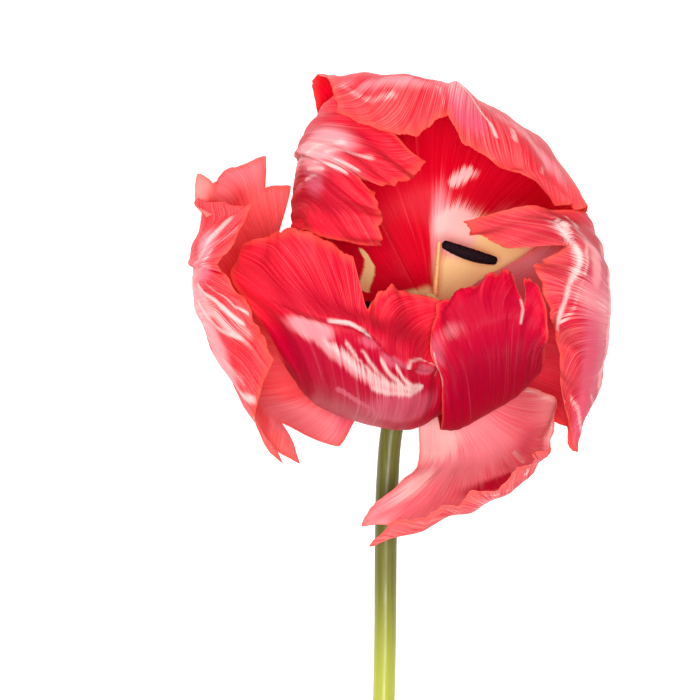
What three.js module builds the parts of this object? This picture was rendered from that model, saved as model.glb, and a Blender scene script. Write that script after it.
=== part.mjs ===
// A cut parrot tulip, laid on a table. The bloom rests on the backs of its petals and opens
// upwards, and the stem lies along -Y. Millimetres, +Z up, and the table is the plane Z = 0.
//
// Every petal is one blade between two smooth faces. A small net of points, from the claw at its
// foot to its tip, carries the blade's middle surface. Ruffles wave it towards its edges, and teeth
// and a notch at the midrib are cut from its outline.

import * as THREE from "three";

// ---- Driving dimensions, in millimetres and degrees ----

const BLADE_THICKNESS = 0.7;
const STEPS_ACROSS = 24;
const STEPS_ALONG = 16;

const RECEPTACLE = [6, 5, 13];
const BLOOM_AXIS = [0.12, 0.42, 0.9];
const RECEPTACLE_RADIUS = 5.4;
const RECEPTACLE_TOP = 1.6;
const CLAW_RADIUS = 6.0;
const CLAW_WIDTH = 4.6;
const INNER_RISE = 0.9;
const OUTER_RISE = -1.6;

const STEM_RADIUS = 2.7;
const STEM_SIDES = 12;
const STEM_STEPS = 50;
const STEM_CUT_SLANT = 0.6;
const RECEPTACLE_FOOT = 0.85;
const RECEPTACLE_SHOULDER = 0.91;

const SEAT_GAP = 0.3;
const PISTIL_LENGTH = 10.5;
const OVARY_RADIUS = 2.2;
const STIGMA_RADIUS = 3.4;

const STAMEN_RING_RADIUS = 4.2;
const STAMEN_TURN = 75;
const FILAMENT_FOOT_RADIUS = 0.8;
const FILAMENT_TOP_RADIUS = 0.5;
const ANTHER_LENGTH = 14;
const ANTHER_RADIUS = 1.9;

// Where each thread ends (angle round the axis, radius from it, rise along it), and how far its
// anther points outward, across and upward from there. One stamen has dropped open to the back.
const STAMEN_TOPS = [
  [85, 16.5, 12, -0.25, -0.96, 0.1],
  [188, 12, 11, 0.8, 0.2, 0.5],
  [212, 8.5, 13, 0.25, 0.1, 0.95],
  [245, 8, 13, 0.3, 0.2, 0.9],
  [300, 8, 12, 0.35, -0.1, 0.9],
  [340, 10, 11, 0.5, 0.1, 0.8],
];

const TOOTH_ALONG_TIP = 0.017;
const TOOTH_ALONG_SIDE = 0.028;

// ---- The petals ----
//
// A net has seven rows, from just above the claw to the tip, of five points across. Seen from
// above, the points of a row run anticlockwise round the bloom, from u = -1 to u = 1.
// "tip" gives pairs of how far across the blade (-1 to 1) and how far up the net it reaches there.
// "firstSide" and "secondSide" give pairs of how far up the net and how far across it reaches there.

const PETALS = [
  {
    name: "petal_back",
    angle: 75,
    rise: OUTER_RISE,
    seed: 1,
    ruffle: 1.3,
    colour: "#e9364a",
    net: [
      [[18.5, 12, 5], [14, 17.5, 4], [8, 21, 3], [3, 21, 3.8], [-1.5, 18, 5]],
      [[31, 19, 9], [21, 30, 2.6], [9, 34, -0.8], [-2, 34.5, 1], [-11, 31, 4]],
      [[42, 29, 25], [30, 42, 12], [10, 48, 6], [-6, 49, 8], [-18, 46, 13]],
      [[44.5, 31.5, 42], [33, 49, 30], [11.5, 60, 22], [-6, 62, 22], [-21.5, 60, 30]],
      [[43, 32, 54], [32, 48, 52], [12, 61.5, 44], [-4, 64.5, 44], [-21, 65.5, 42]],
      [[40, 33.5, 58], [29, 45, 62], [11.5, 61, 58], [-3, 62, 58], [-17, 60.5, 56]],
      [[37, 36, 57], [22, 42.5, 64], [10, 50, 63], [-1, 49.5, 63], [-15.6, 55, 58]],
    ],
    tip: [[-1, 1], [-0.2, 1], [-0.08, 0.985], [0, 0.955], [0.12, 0.97], [0.3, 1], [1, 1]],
  },
  {
    name: "petal_upper_left",
    angle: 125,
    rise: INNER_RISE,
    seed: 2,
    ruffle: 1.1,
    colour: "#f0606a",
    net: [
      [[0.5, 19, 10], [-3.5, 18, 8], [-6.5, 16, 6], [-8.5, 13, 7], [-8.5, 8.5, 10.5]],
      [[-8, 35, 13], [-14, 32, 6.5], [-20, 27, -0.8], [-23, 21, 4], [-22, 14, 13]],
      [[-16, 48, 24], [-22, 45, 14], [-25, 38, 14], [-26.5, 31, 16], [-25, 23, 26]],
      [[-16.5, 59, 38], [-23.5, 51, 32], [-25.5, 43, 32], [-26, 34, 34], [-26, 27, 38]],
      [[-12, 57, 52], [-19, 51, 52], [-23.5, 45.5, 52], [-22, 37, 52], [-22, 27, 50]],
      [[-4, 51, 57], [-9, 46, 61], [-16, 43.5, 63], [-15, 35, 60], [-14, 24, 56]],
      [[5.5, 43.5, 57], [1, 38.5, 61], [-7, 37, 62.5], [-5, 32, 60], [-5, 23.5, 54]],
    ],
    tip: [[-1, 1], [-0.15, 1], [0, 0.95], [0.12, 1], [1, 1]],
  },
  {
    name: "petal_right",
    angle: 0,
    rise: OUTER_RISE,
    seed: 3,
    ruffle: 1.2,
    colour: "#e8505c",
    net: [
      [[17, -5, 7], [20, -0.5, 5], [21, 4, 4.5], [20, 9.5, 6.5], [16.5, 14, 10.5]],
      [[27, -13, 7], [31, -7, 2.6], [34, 3, -0.8], [33.5, 12, 2.8], [27.5, 20.5, 14]],
      [[34, -17, 20], [43, -10, 12], [46, 4, 8], [44, 17, 13], [38, 27, 24]],
      [[39.5, -20, 32], [47, -10, 29], [49.7, 8, 28], [48, 21, 32], [43.5, 30, 38]],
      [[40.4, -25.5, 40], [46, -10, 44], [48.5, 9, 48], [47, 22, 50], [40, 32.5, 52]],
      [[40, -20, 44], [43, -4, 52], [43, 12, 60], [41.5, 24, 62], [29, 33, 59]],
      [[38, -13, 48], [36.3, 1, 54.5], [31.2, 17, 61], [25.5, 22, 62], [13.8, 30, 56]],
    ],
    tip: [[-1, 1], [0.08, 1], [0.33, 0.955], [0.5, 0.885], [0.58, 1], [0.78, 1.03], [1, 1]],
  },
  {
    name: "petal_left",
    angle: 180,
    rise: OUTER_RISE,
    seed: 4,
    ruffle: 1.3,
    colour: "#e84453",
    net: [
      [[-11, 10, 6], [-12.5, 6.5, 4.5], [-13, 2, 4], [-11, -4, 5.5], [-6, -8, 10]],
      [[-26, 18, 5], [-29, 12, 2], [-31, 2, -0.8], [-26.5, -10, 2.8], [-15, -22, 12]],
      [[-28, 35, 22], [-37, 24, 12], [-44, 5, 10], [-38, -9, 12], [-24, -24, 21]],
      [[-33.5, 46.5, 37], [-44, 29, 30], [-49, 14, 28], [-44, -3, 28], [-29, -27, 33]],
      [[-43, 42.5, 45], [-49, 27, 50], [-50.5, 16, 46], [-47, 3, 46], [-31.5, -26, 43]],
      [[-50.5, 37.5, 50], [-46, 27, 60], [-48, 19, 60], [-43, 8, 58], [-34.5, -15, 49]],
      [[-46, 29.5, 57], [-36, 33.5, 61], [-42, 19, 62], [-36, 8, 60], [-31, -3, 54]],
    ],
    tip: [[-1, 1], [-0.1, 1], [0, 0.95], [0.15, 1], [1, 1]],
    firstSide: [
      [0, 1], [0.3125, 1], [0.375, 0.8], [0.4375, 1.1], [0.5, 0.86], [0.5625, 1], [0.625, 0.9],
      [0.6875, 0.94], [0.75, 0.9], [0.8125, 1.04], [0.86, 0.88], [0.9375, 1], [1, 1],
    ],
    secondSide: [
      [0, 1], [0.1875, 1], [0.25, 1.02], [0.3125, 1.06], [0.375, 0.95], [0.4375, 0.84], [0.5, 1.08],
      [0.5625, 0.93], [0.625, 0.97], [0.6875, 1.05], [0.75, 1], [0.8125, 0.97], [0.9, 1], [1, 1],
    ],
  },
  {
    name: "petal_front_left",
    angle: 240,
    rise: INNER_RISE,
    seed: 5,
    ruffle: 1.0,
    colour: "#d21f40",
    net: [
      [[-8, -5, 18], [-5, -8, 16], [-1.5, -9.5, 15], [1.5, -10, 16], [4, -8.5, 18.5]],
      [[-20, -9, 24], [-14, -15, 20], [-6, -18, 18], [2, -18.5, 20], [9, -15, 26.5]],
      [[-28, -6, 36], [-21, -14, 32], [-9, -18.5, 31], [2, -19.8, 33], [11, -15, 38]],
      [[-30, -1, 46], [-20, -9, 49], [-8, -13, 50], [3, -13, 50], [11, -8, 46]],
      [[-38, 10, 50], [-22, 4, 60], [-10, 3, 62], [-0.5, -1, 61], [9.5, -3, 51]],
      [[-41, 18, 48], [-27, 15.5, 57], [-11, 9.5, 57.5], [-2, 6.5, 55.5], [9.5, 5, 50]],
      [[-38, 24, 46], [-27, 28, 55], [-12, 22, 55], [-3, 15, 54], [10, 10.5, 49]],
    ],
    tip: [[-1, 1], [-0.1, 1], [0, 0.99], [0.1, 0.86], [0.25, 0.915], [0.5, 0.995], [1, 1]],
  },
  {
    name: "petal_front_right",
    angle: 310,
    rise: INNER_RISE,
    seed: 6,
    ruffle: 0.9,
    colour: "#cf1038",
    net: [
      [[6.5, -9.5, 17], [9.5, -9, 16], [12.5, -7, 15], [14.5, -3, 16], [15, 1, 18]],
      [[8.5, -17.5, 25], [12, -17.5, 20], [18, -15, 18], [23, -11, 20], [25, -5, 24]],
      [[9, -20, 38], [14, -19.5, 34], [21, -15.5, 33], [28, -11.5, 35], [33, -6, 41]],
      [[9, -9.5, 51], [14, -8, 53], [21, -4, 55], [28, -2, 56], [34, 0, 56]],
      [[6.5, -1, 57], [13, 0, 60], [20, 4, 61.5], [27, 6, 61.5], [34.5, 6, 60]],
      [[7.5, 7, 58], [12, 9, 60], [19, 12, 60], [26, 12, 60], [33, 12, 60]],
      [[10, 10.5, 56], [14.5, 13, 57], [21, 17, 57], [25.5, 17.5, 57], [30, 16, 58]],
    ],
    tip: [[-1, 1], [0.54, 1], [0.667, 0.8], [0.79, 0.98], [1, 1]],
  },
  {
    name: "petal_fallen",
    angle: 290,
    rise: OUTER_RISE,
    seed: 7,
    ruffle: 0.9,
    colour: "#f58b8f",
    net: [
      [[4.5, -10, 11], [7.5, -10.5, 8.5], [10.5, -10, 8], [13.5, -8, 9], [15.5, -4.5, 12]],
      [[4, -20, 12], [9, -20, 8], [15, -19, 7], [21, -16, 10], [26, -9, 14]],
      [[3.5, -29, 20], [10, -28, 14], [19, -26, 13], [27, -22, 17], [34, -11, 26]],
      [[-3, -35, 33], [8, -33, 22], [20, -31, 22], [30, -27, 26], [37, -14, 34]],
      [[-10.5, -42, 42], [6, -39, 34], [21, -36, 34], [31, -29.5, 38], [36, -21, 42]],
      [[-9.5, -48.5, 46], [6, -43, 46], [20, -38, 46], [30.5, -31, 48], [33.5, -25.5, 47]],
      [[-3, -43.5, 50], [7, -40, 52], [16, -36, 53], [27, -31, 54], [31, -26, 52]],
    ],
    tip: [[-1, 1], [1, 1]],
    firstSide: [[0, 1], [0.66, 1], [0.75, 0.97], [0.8125, 0.46], [0.875, 0.98], [1, 1]],
  },
];

// ---- Small helpers ----

const radians = THREE.MathUtils.degToRad;
const smoothstep = THREE.MathUtils.smoothstep;

// A number from 0 to 1 that looks random and is always the same for the same place and seed.
function scatter(place, seed) {
  const wave = Math.sin(place * 12.9898 + seed * 78.233) * 43758.5453;
  return wave - Math.floor(wave);
}

// The value between the pairs of a list such as [[x, y], [x, y]], joined by straight lines.
function between(pairs, x) {
  for (let i = 1; i < pairs.length; i += 1) {
    const [x0, y0] = pairs[i - 1];
    const [x1, y1] = pairs[i];
    if (x <= x1) {
      return y0 + ((y1 - y0) * Math.max(x - x0, 0)) / (x1 - x0);
    }
  }
  return pairs[pairs.length - 1][1];
}

// A smooth curve through equally spaced values, carried straight on past both ends.
function through(values, at) {
  const last = values.length - 1;
  const i = Math.min(Math.max(Math.floor(at), 0), last - 1);
  const f = at - i;
  const b = values[i];
  const c = values[i + 1];
  const a = i > 0 ? values[i - 1] : 2 * b - c;
  const d = i < last - 1 ? values[i + 2] : 2 * c - b;
  return b + 0.5 * f * (c - a + f * (2 * a - 5 * b + 4 * c - d + f * (3 * (b - c) + d - a)));
}

// Two unit vectors square to an axis, so that first x second gives the axis. The first leans as
// far as it can to +X, or to +Y where the axis itself runs near X.
function squareTo(axis) {
  const lean = Math.abs(axis.x) < 0.8 ? new THREE.Vector3(1, 0, 0) : new THREE.Vector3(0, 1, 0);
  const first = lean.addScaledVector(axis, -lean.dot(axis)).normalize();
  return [first, new THREE.Vector3().crossVectors(axis, first)];
}

// The place on the bloom at an angle round its axis, a radius from it and a rise along it.
function onBloom(degrees, radius, rise) {
  const axis = new THREE.Vector3(...BLOOM_AXIS).normalize();
  const [first, second] = squareTo(axis);
  return new THREE.Vector3(...RECEPTACLE)
    .addScaledVector(first, radius * Math.cos(radians(degrees)))
    .addScaledVector(second, radius * Math.sin(radians(degrees)))
    .addScaledVector(axis, rise);
}

function geometryFrom(points, triangles) {
  const geometry = new THREE.BufferGeometry();
  geometry.setAttribute("position", new THREE.Float32BufferAttribute(points.flat(), 3));
  geometry.setIndex(triangles.flat());
  geometry.computeVertexNormals();
  return geometry;
}

// ---- One petal ----

// The row of the claw, on the rim of the receptacle.
function clawRow(petal) {
  const halfAngle = THREE.MathUtils.radToDeg(CLAW_WIDTH / 2 / CLAW_RADIUS);
  return [-1, -0.5, 0, 0.5, 1].map((across) =>
    onBloom(petal.angle + across * halfAngle, CLAW_RADIUS, petal.rise).toArray(),
  );
}

// The place on the net, u across from -1 to 1 and v along from 0 to 1.
function onNet(rows, u, v) {
  const column = (u + 1) * 2;
  const row = v * (rows.length - 1);
  return new THREE.Vector3(
    ...[0, 1, 2].map((axis) => {
      const along = [0, 1, 2, 3, 4].map((i) => through(rows.map((points) => points[i][axis]), row));
      return through(along, column);
    }),
  );
}

// How far the ruffles lift the blade from its net. They grow towards the tip and both sides.
function ruffleAt(petal, u, v) {
  const side = smoothstep(Math.abs(u), 0.55, 1) * smoothstep(v, 0.3, 0.6);
  const tip = smoothstep(v, 0.68, 1);
  const turn = 2 * Math.PI;
  const alongSide = Math.sin(turn * (4.2 * v + 0.37 * petal.seed + (u > 0 ? 0.4 : 0)));
  const alongTip = Math.sin(turn * (2.1 * u + 0.23 * petal.seed) + 0.9 * Math.sin(5 * u + petal.seed));
  return petal.ruffle * (0.8 * side * alongSide + tip * alongTip);
}

// A saw of uneven teeth: 0 at the points of the teeth, up to 1 between them.
function toothAt(place, seed) {
  const nearest = Math.round(place);
  const depth = 0.15 + 0.85 * scatter(nearest, seed) ** 2;
  return depth * (1 - Math.abs(2 * (place - nearest)));
}

// The place on the waved middle surface. across and along run over the cut outline.
function onBlade(petal, rows, across, along) {
  const reach = between(petal.tip, across);
  const tipCut = TOOTH_ALONG_TIP * toothAt(((across + 1) * STEPS_ACROSS) / 4 + 0.5, petal.seed);
  const v = along * reach - tipCut * along ** 6;
  const sideCut = TOOTH_ALONG_SIDE * toothAt(v * STEPS_ALONG * 0.5 + 0.5, petal.seed + (across > 0 ? 20 : 10));
  const sideOutline = across < 0 ? petal.firstSide : petal.secondSide;
  const sideReach = between(sideOutline || [[0, 1], [1, 1]], v);
  const u = across * (sideReach - sideCut * smoothstep(v, 0.25, 0.5) * Math.abs(across) ** 6);
  const place = onNet(rows, u, v);
  const small = 0.004;
  const du = onNet(rows, u + small, v).sub(onNet(rows, u - small, v));
  const dv = onNet(rows, u, v + small).sub(onNet(rows, u, v - small));
  const normal = du.cross(dv).normalize();
  return place.addScaledVector(normal, ruffleAt(petal, u, v));
}

// One closed blade: both faces share the same triangles, and a thin wall joins them all round.
function petalGeometry(petal) {
  const rows = [clawRow(petal), ...petal.net];
  const wide = STEPS_ACROSS + 1;
  const grid = [];
  for (let j = 0; j <= STEPS_ALONG; j += 1) {
    for (let i = 0; i <= STEPS_ACROSS; i += 1) {
      grid.push(onBlade(petal, rows, (2 * i) / STEPS_ACROSS - 1, j / STEPS_ALONG));
    }
  }
  const at = (i, j) => grid[Math.min(Math.max(j, 0), STEPS_ALONG) * wide + Math.min(Math.max(i, 0), STEPS_ACROSS)];
  const outer = [];
  const inner = [];
  for (let j = 0; j <= STEPS_ALONG; j += 1) {
    for (let i = 0; i <= STEPS_ACROSS; i += 1) {
      const du = at(i + 1, j).clone().sub(at(i - 1, j));
      const dv = at(i, j + 1).clone().sub(at(i, j - 1));
      const half = du.cross(dv).normalize().multiplyScalar(BLADE_THICKNESS / 2);
      const lift = Math.max(0, Math.abs(half.z) - at(i, j).z);
      const middle = at(i, j).clone().setZ(at(i, j).z + lift);
      outer.push(middle.clone().add(half).toArray());
      inner.push(middle.clone().sub(half).toArray());
    }
  }
  const triangles = [];
  const face = (a, b, c, d) => triangles.push([a, b, c], [a, c, d]);
  const count = outer.length;
  for (let j = 0; j < STEPS_ALONG; j += 1) {
    for (let i = 0; i < STEPS_ACROSS; i += 1) {
      const a = j * wide + i;
      face(a, a + 1, a + wide + 1, a + wide);
      triangles.push([count + a, count + a + wide + 1, count + a + 1]);
      triangles.push([count + a, count + a + wide, count + a + wide + 1]);
    }
  }
  const rim = [];
  for (let i = 0; i < STEPS_ACROSS; i += 1) rim.push(i);
  for (let j = 0; j < STEPS_ALONG; j += 1) rim.push(j * wide + STEPS_ACROSS);
  for (let i = STEPS_ACROSS; i > 0; i -= 1) rim.push(STEPS_ALONG * wide + i);
  for (let j = STEPS_ALONG; j > 0; j -= 1) rim.push(j * wide);
  rim.forEach((a, k) => {
    const b = rim[(k + 1) % rim.length];
    face(a, count + a, count + b, b);
  });
  return geometryFrom([...outer, ...inner], triangles);
}

// ---- Stem, pistil and stamens ----

// A closed tube along a smooth line. radiusAt(t, turn) gives its radius from the start, t = 0, to
// the end, t = 1, on each side of it. Each ring has a flat below, so a level tube lies on a strip.
function tubeGeometry(line, radiusAt, sides, places) {
  const points = [];
  const triangles = [];
  places.forEach((t) => {
    const centre = line.getPoint(t);
    const [side, up] = squareTo(line.getTangent(t));
    for (let s = 0; s < sides; s += 1) {
      const turn = ((s + 0.5) * 2 * Math.PI) / sides;
      const radius = radiusAt(t, turn) / Math.cos(Math.PI / sides);
      points.push(
        centre
          .clone()
          .addScaledVector(side, radius * Math.cos(turn))
          .addScaledVector(up, radius * Math.sin(turn)),
      );
    }
  });
  const steps = places.length - 1;
  for (let k = 0; k < steps; k += 1) {
    for (let s = 0; s < sides; s += 1) {
      const a = k * sides + s;
      const b = k * sides + ((s + 1) % sides);
      triangles.push([a, b, b + sides], [a, b + sides, a + sides]);
    }
  }
  const first = points.length;
  points.push(line.getPoint(places[0]), line.getPoint(places[steps]));
  for (let s = 0; s < sides; s += 1) {
    const next = (s + 1) % sides;
    triangles.push([first, next, s], [first + 1, steps * sides + s, steps * sides + next]);
  }
  return geometryFrom(points.map((place) => place.toArray()), triangles);
}

const evenly = (steps) => Array.from({ length: steps + 1 }, (_, k) => k / steps);

// The stem lies along the table, bends up under the bloom and widens into the receptacle.
function stemGeometry() {
  const line = new THREE.CatmullRomCurve3(
    [
      [-2, -192, STEM_RADIUS],
      [-4.5, -150, STEM_RADIUS],
      [-5, -110, STEM_RADIUS],
      [-4.2, -75, STEM_RADIUS],
      [-4, -50, STEM_RADIUS],
      [-3.6, -33, STEM_RADIUS + 0.1],
      [-2.4, -20, STEM_RADIUS + 0.9],
      [0.6, -10, STEM_RADIUS + 2.2],
      [3.6, -2.4, STEM_RADIUS + 4.3],
      onBloom(0, 0, -3).toArray(),
      onBloom(0, 0, RECEPTACLE_TOP).toArray(),
    ].map((place) => new THREE.Vector3(...place)),
    false,
    "centripetal",
  );
  const flare = RECEPTACLE_RADIUS - STEM_RADIUS;
  const radiusAt = (t) => STEM_RADIUS + flare * smoothstep(t, RECEPTACLE_FOOT, RECEPTACLE_SHOULDER);
  const geometry = tubeGeometry(line, radiusAt, STEM_SIDES, evenly(STEM_STEPS));
  const position = geometry.getAttribute("position");
  const cutPoints = [...Array(STEM_SIDES).keys(), STEM_SIDES * (STEM_STEPS + 1)];
  cutPoints.forEach((i) => {
    position.setY(i, position.getY(i) - STEM_CUT_SLANT * (STEM_RADIUS - position.getZ(i)));
  });
  for (let i = 0; i < position.count; i += 1) {
    position.setZ(i, Math.max(position.getZ(i), 0));
  }
  return geometry;
}

// The green ovary in the middle, with the three lobes of the stigma on top.
function pistilGeometry() {
  const foot = onBloom(0, 0, RECEPTACLE_TOP + SEAT_GAP);
  const line = new THREE.LineCurve3(foot, onBloom(0, 0, RECEPTACLE_TOP + SEAT_GAP + PISTIL_LENGTH));
  const stigma = STIGMA_RADIUS - OVARY_RADIUS;
  const radiusAt = (t, turn) => {
    const ovary = OVARY_RADIUS * (0.8 + 0.2 * Math.sin(Math.PI * t)) * (1 + 0.08 * Math.cos(3 * turn));
    const crown = smoothstep(t, 0.78, 0.92) * (1 - 0.55 * smoothstep(t, 0.92, 1));
    return ovary + stigma * crown * (0.75 + 0.35 * Math.cos(3 * turn));
  };
  return tubeGeometry(line, radiusAt, 12, evenly(12));
}

// A stamen: a thread from the rim of the receptacle, and the dark anther that it holds by the end.
function stamenGeometries(index) {
  const [angle, radius, rise, outward, across, upward] = STAMEN_TOPS[index];
  const footAngle = STAMEN_TURN + (360 / STAMEN_TOPS.length) * index;
  const foot = onBloom(footAngle, STAMEN_RING_RADIUS, RECEPTACLE_TOP + SEAT_GAP);
  const knee = onBloom(footAngle, STAMEN_RING_RADIUS, RECEPTACLE_TOP + SEAT_GAP + 4);
  const top = onBloom(angle, radius, rise);
  const thread = new THREE.CatmullRomCurve3([foot, knee, top], false, "centripetal");
  const threadRadius = (t) => FILAMENT_FOOT_RADIUS + (FILAMENT_TOP_RADIUS - FILAMENT_FOOT_RADIUS) * t;

  const middle = onBloom(0, 0, 0);
  const direction = new THREE.Vector3()
    .addScaledVector(onBloom(angle, 1, 0).sub(middle), outward)
    .addScaledVector(onBloom(angle + 90, 1, 0).sub(middle), across)
    .addScaledVector(onBloom(0, 0, 1).sub(middle), upward)
    .normalize();
  const start = top.clone().addScaledVector(direction, FILAMENT_TOP_RADIUS + SEAT_GAP);
  const end = start.clone().addScaledVector(direction, ANTHER_LENGTH);
  const antherRadius = (t, turn) =>
    ANTHER_RADIUS * (0.35 + 0.65 * Math.sin(Math.PI * (0.1 + 0.8 * t)) ** 0.7) * (1 + 0.14 * Math.cos(2 * turn));
  return {
    filament: tubeGeometry(thread, threadRadius, 8, evenly(7)),
    anther: tubeGeometry(new THREE.LineCurve3(start, end), antherRadius, 10, evenly(8)),
  };
}

// ---- The whole tulip ----

const flower = new THREE.Group();

function add(name, geometry, colour, roughness) {
  const material = new THREE.MeshStandardMaterial({ color: colour, roughness, metalness: 0 });
  const mesh = new THREE.Mesh(geometry, material);
  mesh.name = name;
  flower.add(mesh);
}

add("stem", stemGeometry(), "#8f9a4e", 0.6);
add("pistil", pistilGeometry(), "#b9c27a", 0.6);
STAMEN_TOPS.forEach((_, index) => {
  const { filament, anther } = stamenGeometries(index);
  add(`filament_${index + 1}`, filament, "#d9c98a", 0.6);
  add(`anther_${index + 1}`, anther, "#17121c", 0.9);
});
PETALS.forEach((petal) => add(petal.name, petalGeometry(petal), petal.colour, 0.45));

// The origin is on the table, under the middle of the whole tulip.
const box = new THREE.Box3().setFromObject(flower);
const centre = box.getCenter(new THREE.Vector3());
flower.position.set(-centre.x, -centre.y, -box.min.z);

export default flower;
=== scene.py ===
# %% [markdown]
# # A cut parrot tulip, laid on a table
#
# A parrot tulip is an ordinary tulip whose petals have run wild: their edges are ruffled, notched
# and fringed, and pale feathers streak their backs. This flower was cut with a long bare stem and
# laid down. Its bloom rests on the backs of the petals and opens upwards, one petal has fallen
# open, and a dark anther shows in the gap.
#
# The solid model comes first. It is loaded as a fixed frame, and every fine piece made here takes
# the place of one of its solids.

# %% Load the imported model
import math

import bpy
import numpy as np
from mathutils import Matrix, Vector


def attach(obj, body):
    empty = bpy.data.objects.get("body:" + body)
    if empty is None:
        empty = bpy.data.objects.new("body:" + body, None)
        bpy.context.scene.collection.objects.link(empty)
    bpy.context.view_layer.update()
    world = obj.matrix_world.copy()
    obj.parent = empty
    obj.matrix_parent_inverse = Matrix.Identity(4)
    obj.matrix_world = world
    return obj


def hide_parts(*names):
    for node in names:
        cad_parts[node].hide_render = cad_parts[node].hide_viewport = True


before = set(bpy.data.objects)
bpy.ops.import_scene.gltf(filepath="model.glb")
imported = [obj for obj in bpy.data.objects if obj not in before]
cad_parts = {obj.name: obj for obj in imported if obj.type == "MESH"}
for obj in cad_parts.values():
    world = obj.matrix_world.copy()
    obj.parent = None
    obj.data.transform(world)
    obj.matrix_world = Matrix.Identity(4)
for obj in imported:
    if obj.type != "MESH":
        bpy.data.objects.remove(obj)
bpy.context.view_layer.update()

print("solids:", sorted(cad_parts))

# %% [markdown]
# ## Where things are
#
# The flower was drawn in millimetres, with the drawing's zero below the middle of the bloom. The
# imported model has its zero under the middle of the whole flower, and Blender works in metres, so
# one small function carries every point across.

# %% From the drawing to the frame
DRAWING_SHIFT = (0.36108, 64.25918, 0.0)


def in_frame(points):
    """Carries points from the drawing, in millimetres, to the frame, in metres."""
    return (np.asarray(points, float) + DRAWING_SHIFT) / 1000


# %% The bloom's own directions
RECEPTACLE = np.array([6, 5, 13])
BLOOM_AXIS = np.array([0.12, 0.42, 0.9])
AXIS = BLOOM_AXIS / np.linalg.norm(BLOOM_AXIS)
FIRST = np.array([1, 0, 0]) - AXIS[0] * AXIS
FIRST = FIRST / np.linalg.norm(FIRST)
SECOND = np.cross(AXIS, FIRST)


def on_bloom(degrees, radius, rise):
    """The place at an angle round the bloom's axis, a radius from it and a rise along it."""
    turn = math.radians(degrees)
    around = math.cos(turn) * FIRST + math.sin(turn) * SECOND
    return RECEPTACLE + radius * around + rise * AXIS


print("the bloom leans", round(math.degrees(math.acos(AXIS[2]))), "degrees from upright")

# %% [markdown]
# ## The camera
#
# A long lens far away keeps the petals' proportions, as in a flower portrait. The flower lies
# down, so the camera looks straight down on it. The focal length follows from how much of the
# flower the picture holds at the height of the petals' rims.

# %% Camera
PICTURE_MIDDLE = (-12.7, -1.2, 38.0)
PICTURE_SIDE = 168.0
CAMERA_HEIGHT = 2500.0
SENSOR = 36.0

camera = bpy.data.objects.new("camera", bpy.data.cameras.new("camera"))
bpy.context.scene.collection.objects.link(camera)
camera.location = in_frame(PICTURE_MIDDLE)
camera.location.z = CAMERA_HEIGHT / 1000
camera.data.sensor_width = SENSOR
camera.data.lens = SENSOR * (CAMERA_HEIGHT - PICTURE_MIDDLE[2]) / PICTURE_SIDE
camera.data.clip_end = 4 * CAMERA_HEIGHT / 1000
bpy.context.scene.camera = camera
print("focal length:", round(camera.data.lens), "mm")

# %% [markdown]
# ## Small tools for node trees
#
# Materials and Geometry Nodes are both trees of nodes. One helper adds a node, chooses its
# settings and fills its inputs: an input that is given another node's output is linked to it, and
# any other value is typed in. What comes out of a node can be added and multiplied like a plain
# number, and every such sum becomes one more node of the tree.

# %% Helpers for all node trees
class Output:
    """What comes out of a node. Sums with it become nodes."""

    def __init__(self, tree, socket):
        self.tree = tree
        self.socket = socket

    def __add__(self, other):
        return maths("ADD", self, other)

    def __sub__(self, other):
        return maths("SUBTRACT", self, other)

    def __mul__(self, other):
        return maths("MULTIPLY", self, other)


def feed(socket, value):
    """Links an input to an output or to each of a list of outputs, or types a value into it."""
    if isinstance(value, list):
        for part in value:
            feed(socket, part)
    elif isinstance(value, Output):
        value.tree.links.new(value.socket, socket)
    else:
        socket.default_value = value


def node(tree, kind, inputs=None, gives=0, **settings):
    """Adds a node with its settings and inputs, and gives back one of its outputs."""
    made = tree.nodes.new(kind)
    for name, value in settings.items():
        setattr(made, name, value)
    for name, value in (inputs or {}).items():
        feed(made.inputs[name], value)
    return Output(tree, made.outputs[gives]) if made.outputs else None


def maths(operation, *values):
    """The result of one sum."""
    inputs = dict(enumerate(values))
    return node(values[0].tree, "ShaderNodeMath", inputs, operation=operation)


def eased(value, low, high, to_low=0.0, to_high=1.0):
    """A soft step of a value, from to_low where it is low to to_high where it is high."""
    ends = {"From Min": low, "From Max": high, "To Min": to_low, "To Max": to_high}
    inputs = {"Value": value, **ends}
    return node(value.tree, "ShaderNodeMapRange", inputs, interpolation_type="SMOOTHSTEP")


def place_at(x, y, z):
    """A place from three numbers, the first of them an output."""
    return node(x.tree, "ShaderNodeCombineXYZ", {"X": x, "Y": y, "Z": z})


def noise(place, scale, detail):
    """Cloudy noise around 0.5, of a scale in clouds for each unit of the place."""
    inputs = {"Vector": place, "Scale": scale, "Detail": detail}
    return node(place.tree, "ShaderNodeTexNoise", inputs, "Fac")


# %% Helpers for materials
def new_material(name):
    """An empty material and its tree."""
    material = bpy.data.materials.new(name)
    material.use_nodes = True
    material.node_tree.nodes.clear()
    return material, material.node_tree


def close_material(material, shader):
    """Puts a shader on the surface of a material."""
    node(shader.tree, "ShaderNodeOutputMaterial", {"Surface": shader})
    return material


def on_object(tree):
    """The place of each point on its object."""
    return node(tree, "ShaderNodeTexCoord", gives="Object")


def along_axis(place, axis):
    """One of the three numbers of a place: X, Y or Z."""
    return node(place.tree, "ShaderNodeSeparateXYZ", {"Vector": place}, axis)


def colour(red, green, blue):
    """A colour from the 0 to 255 of a colour picker, in the linear light that shaders use."""
    steps = [part / 255 for part in (red, green, blue)]
    linear = [s / 12.92 if s <= 0.04045 else ((s + 0.055) / 1.055) ** 2.4 for s in steps]
    return (*linear, 1.0)


def tint(share, first, second):
    """The first colour where share is 0, going over into the second where it is 1."""
    return node(share.tree, "ShaderNodeMix", {0: share, 6: first, 7: second}, 2, data_type="RGBA")


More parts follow.
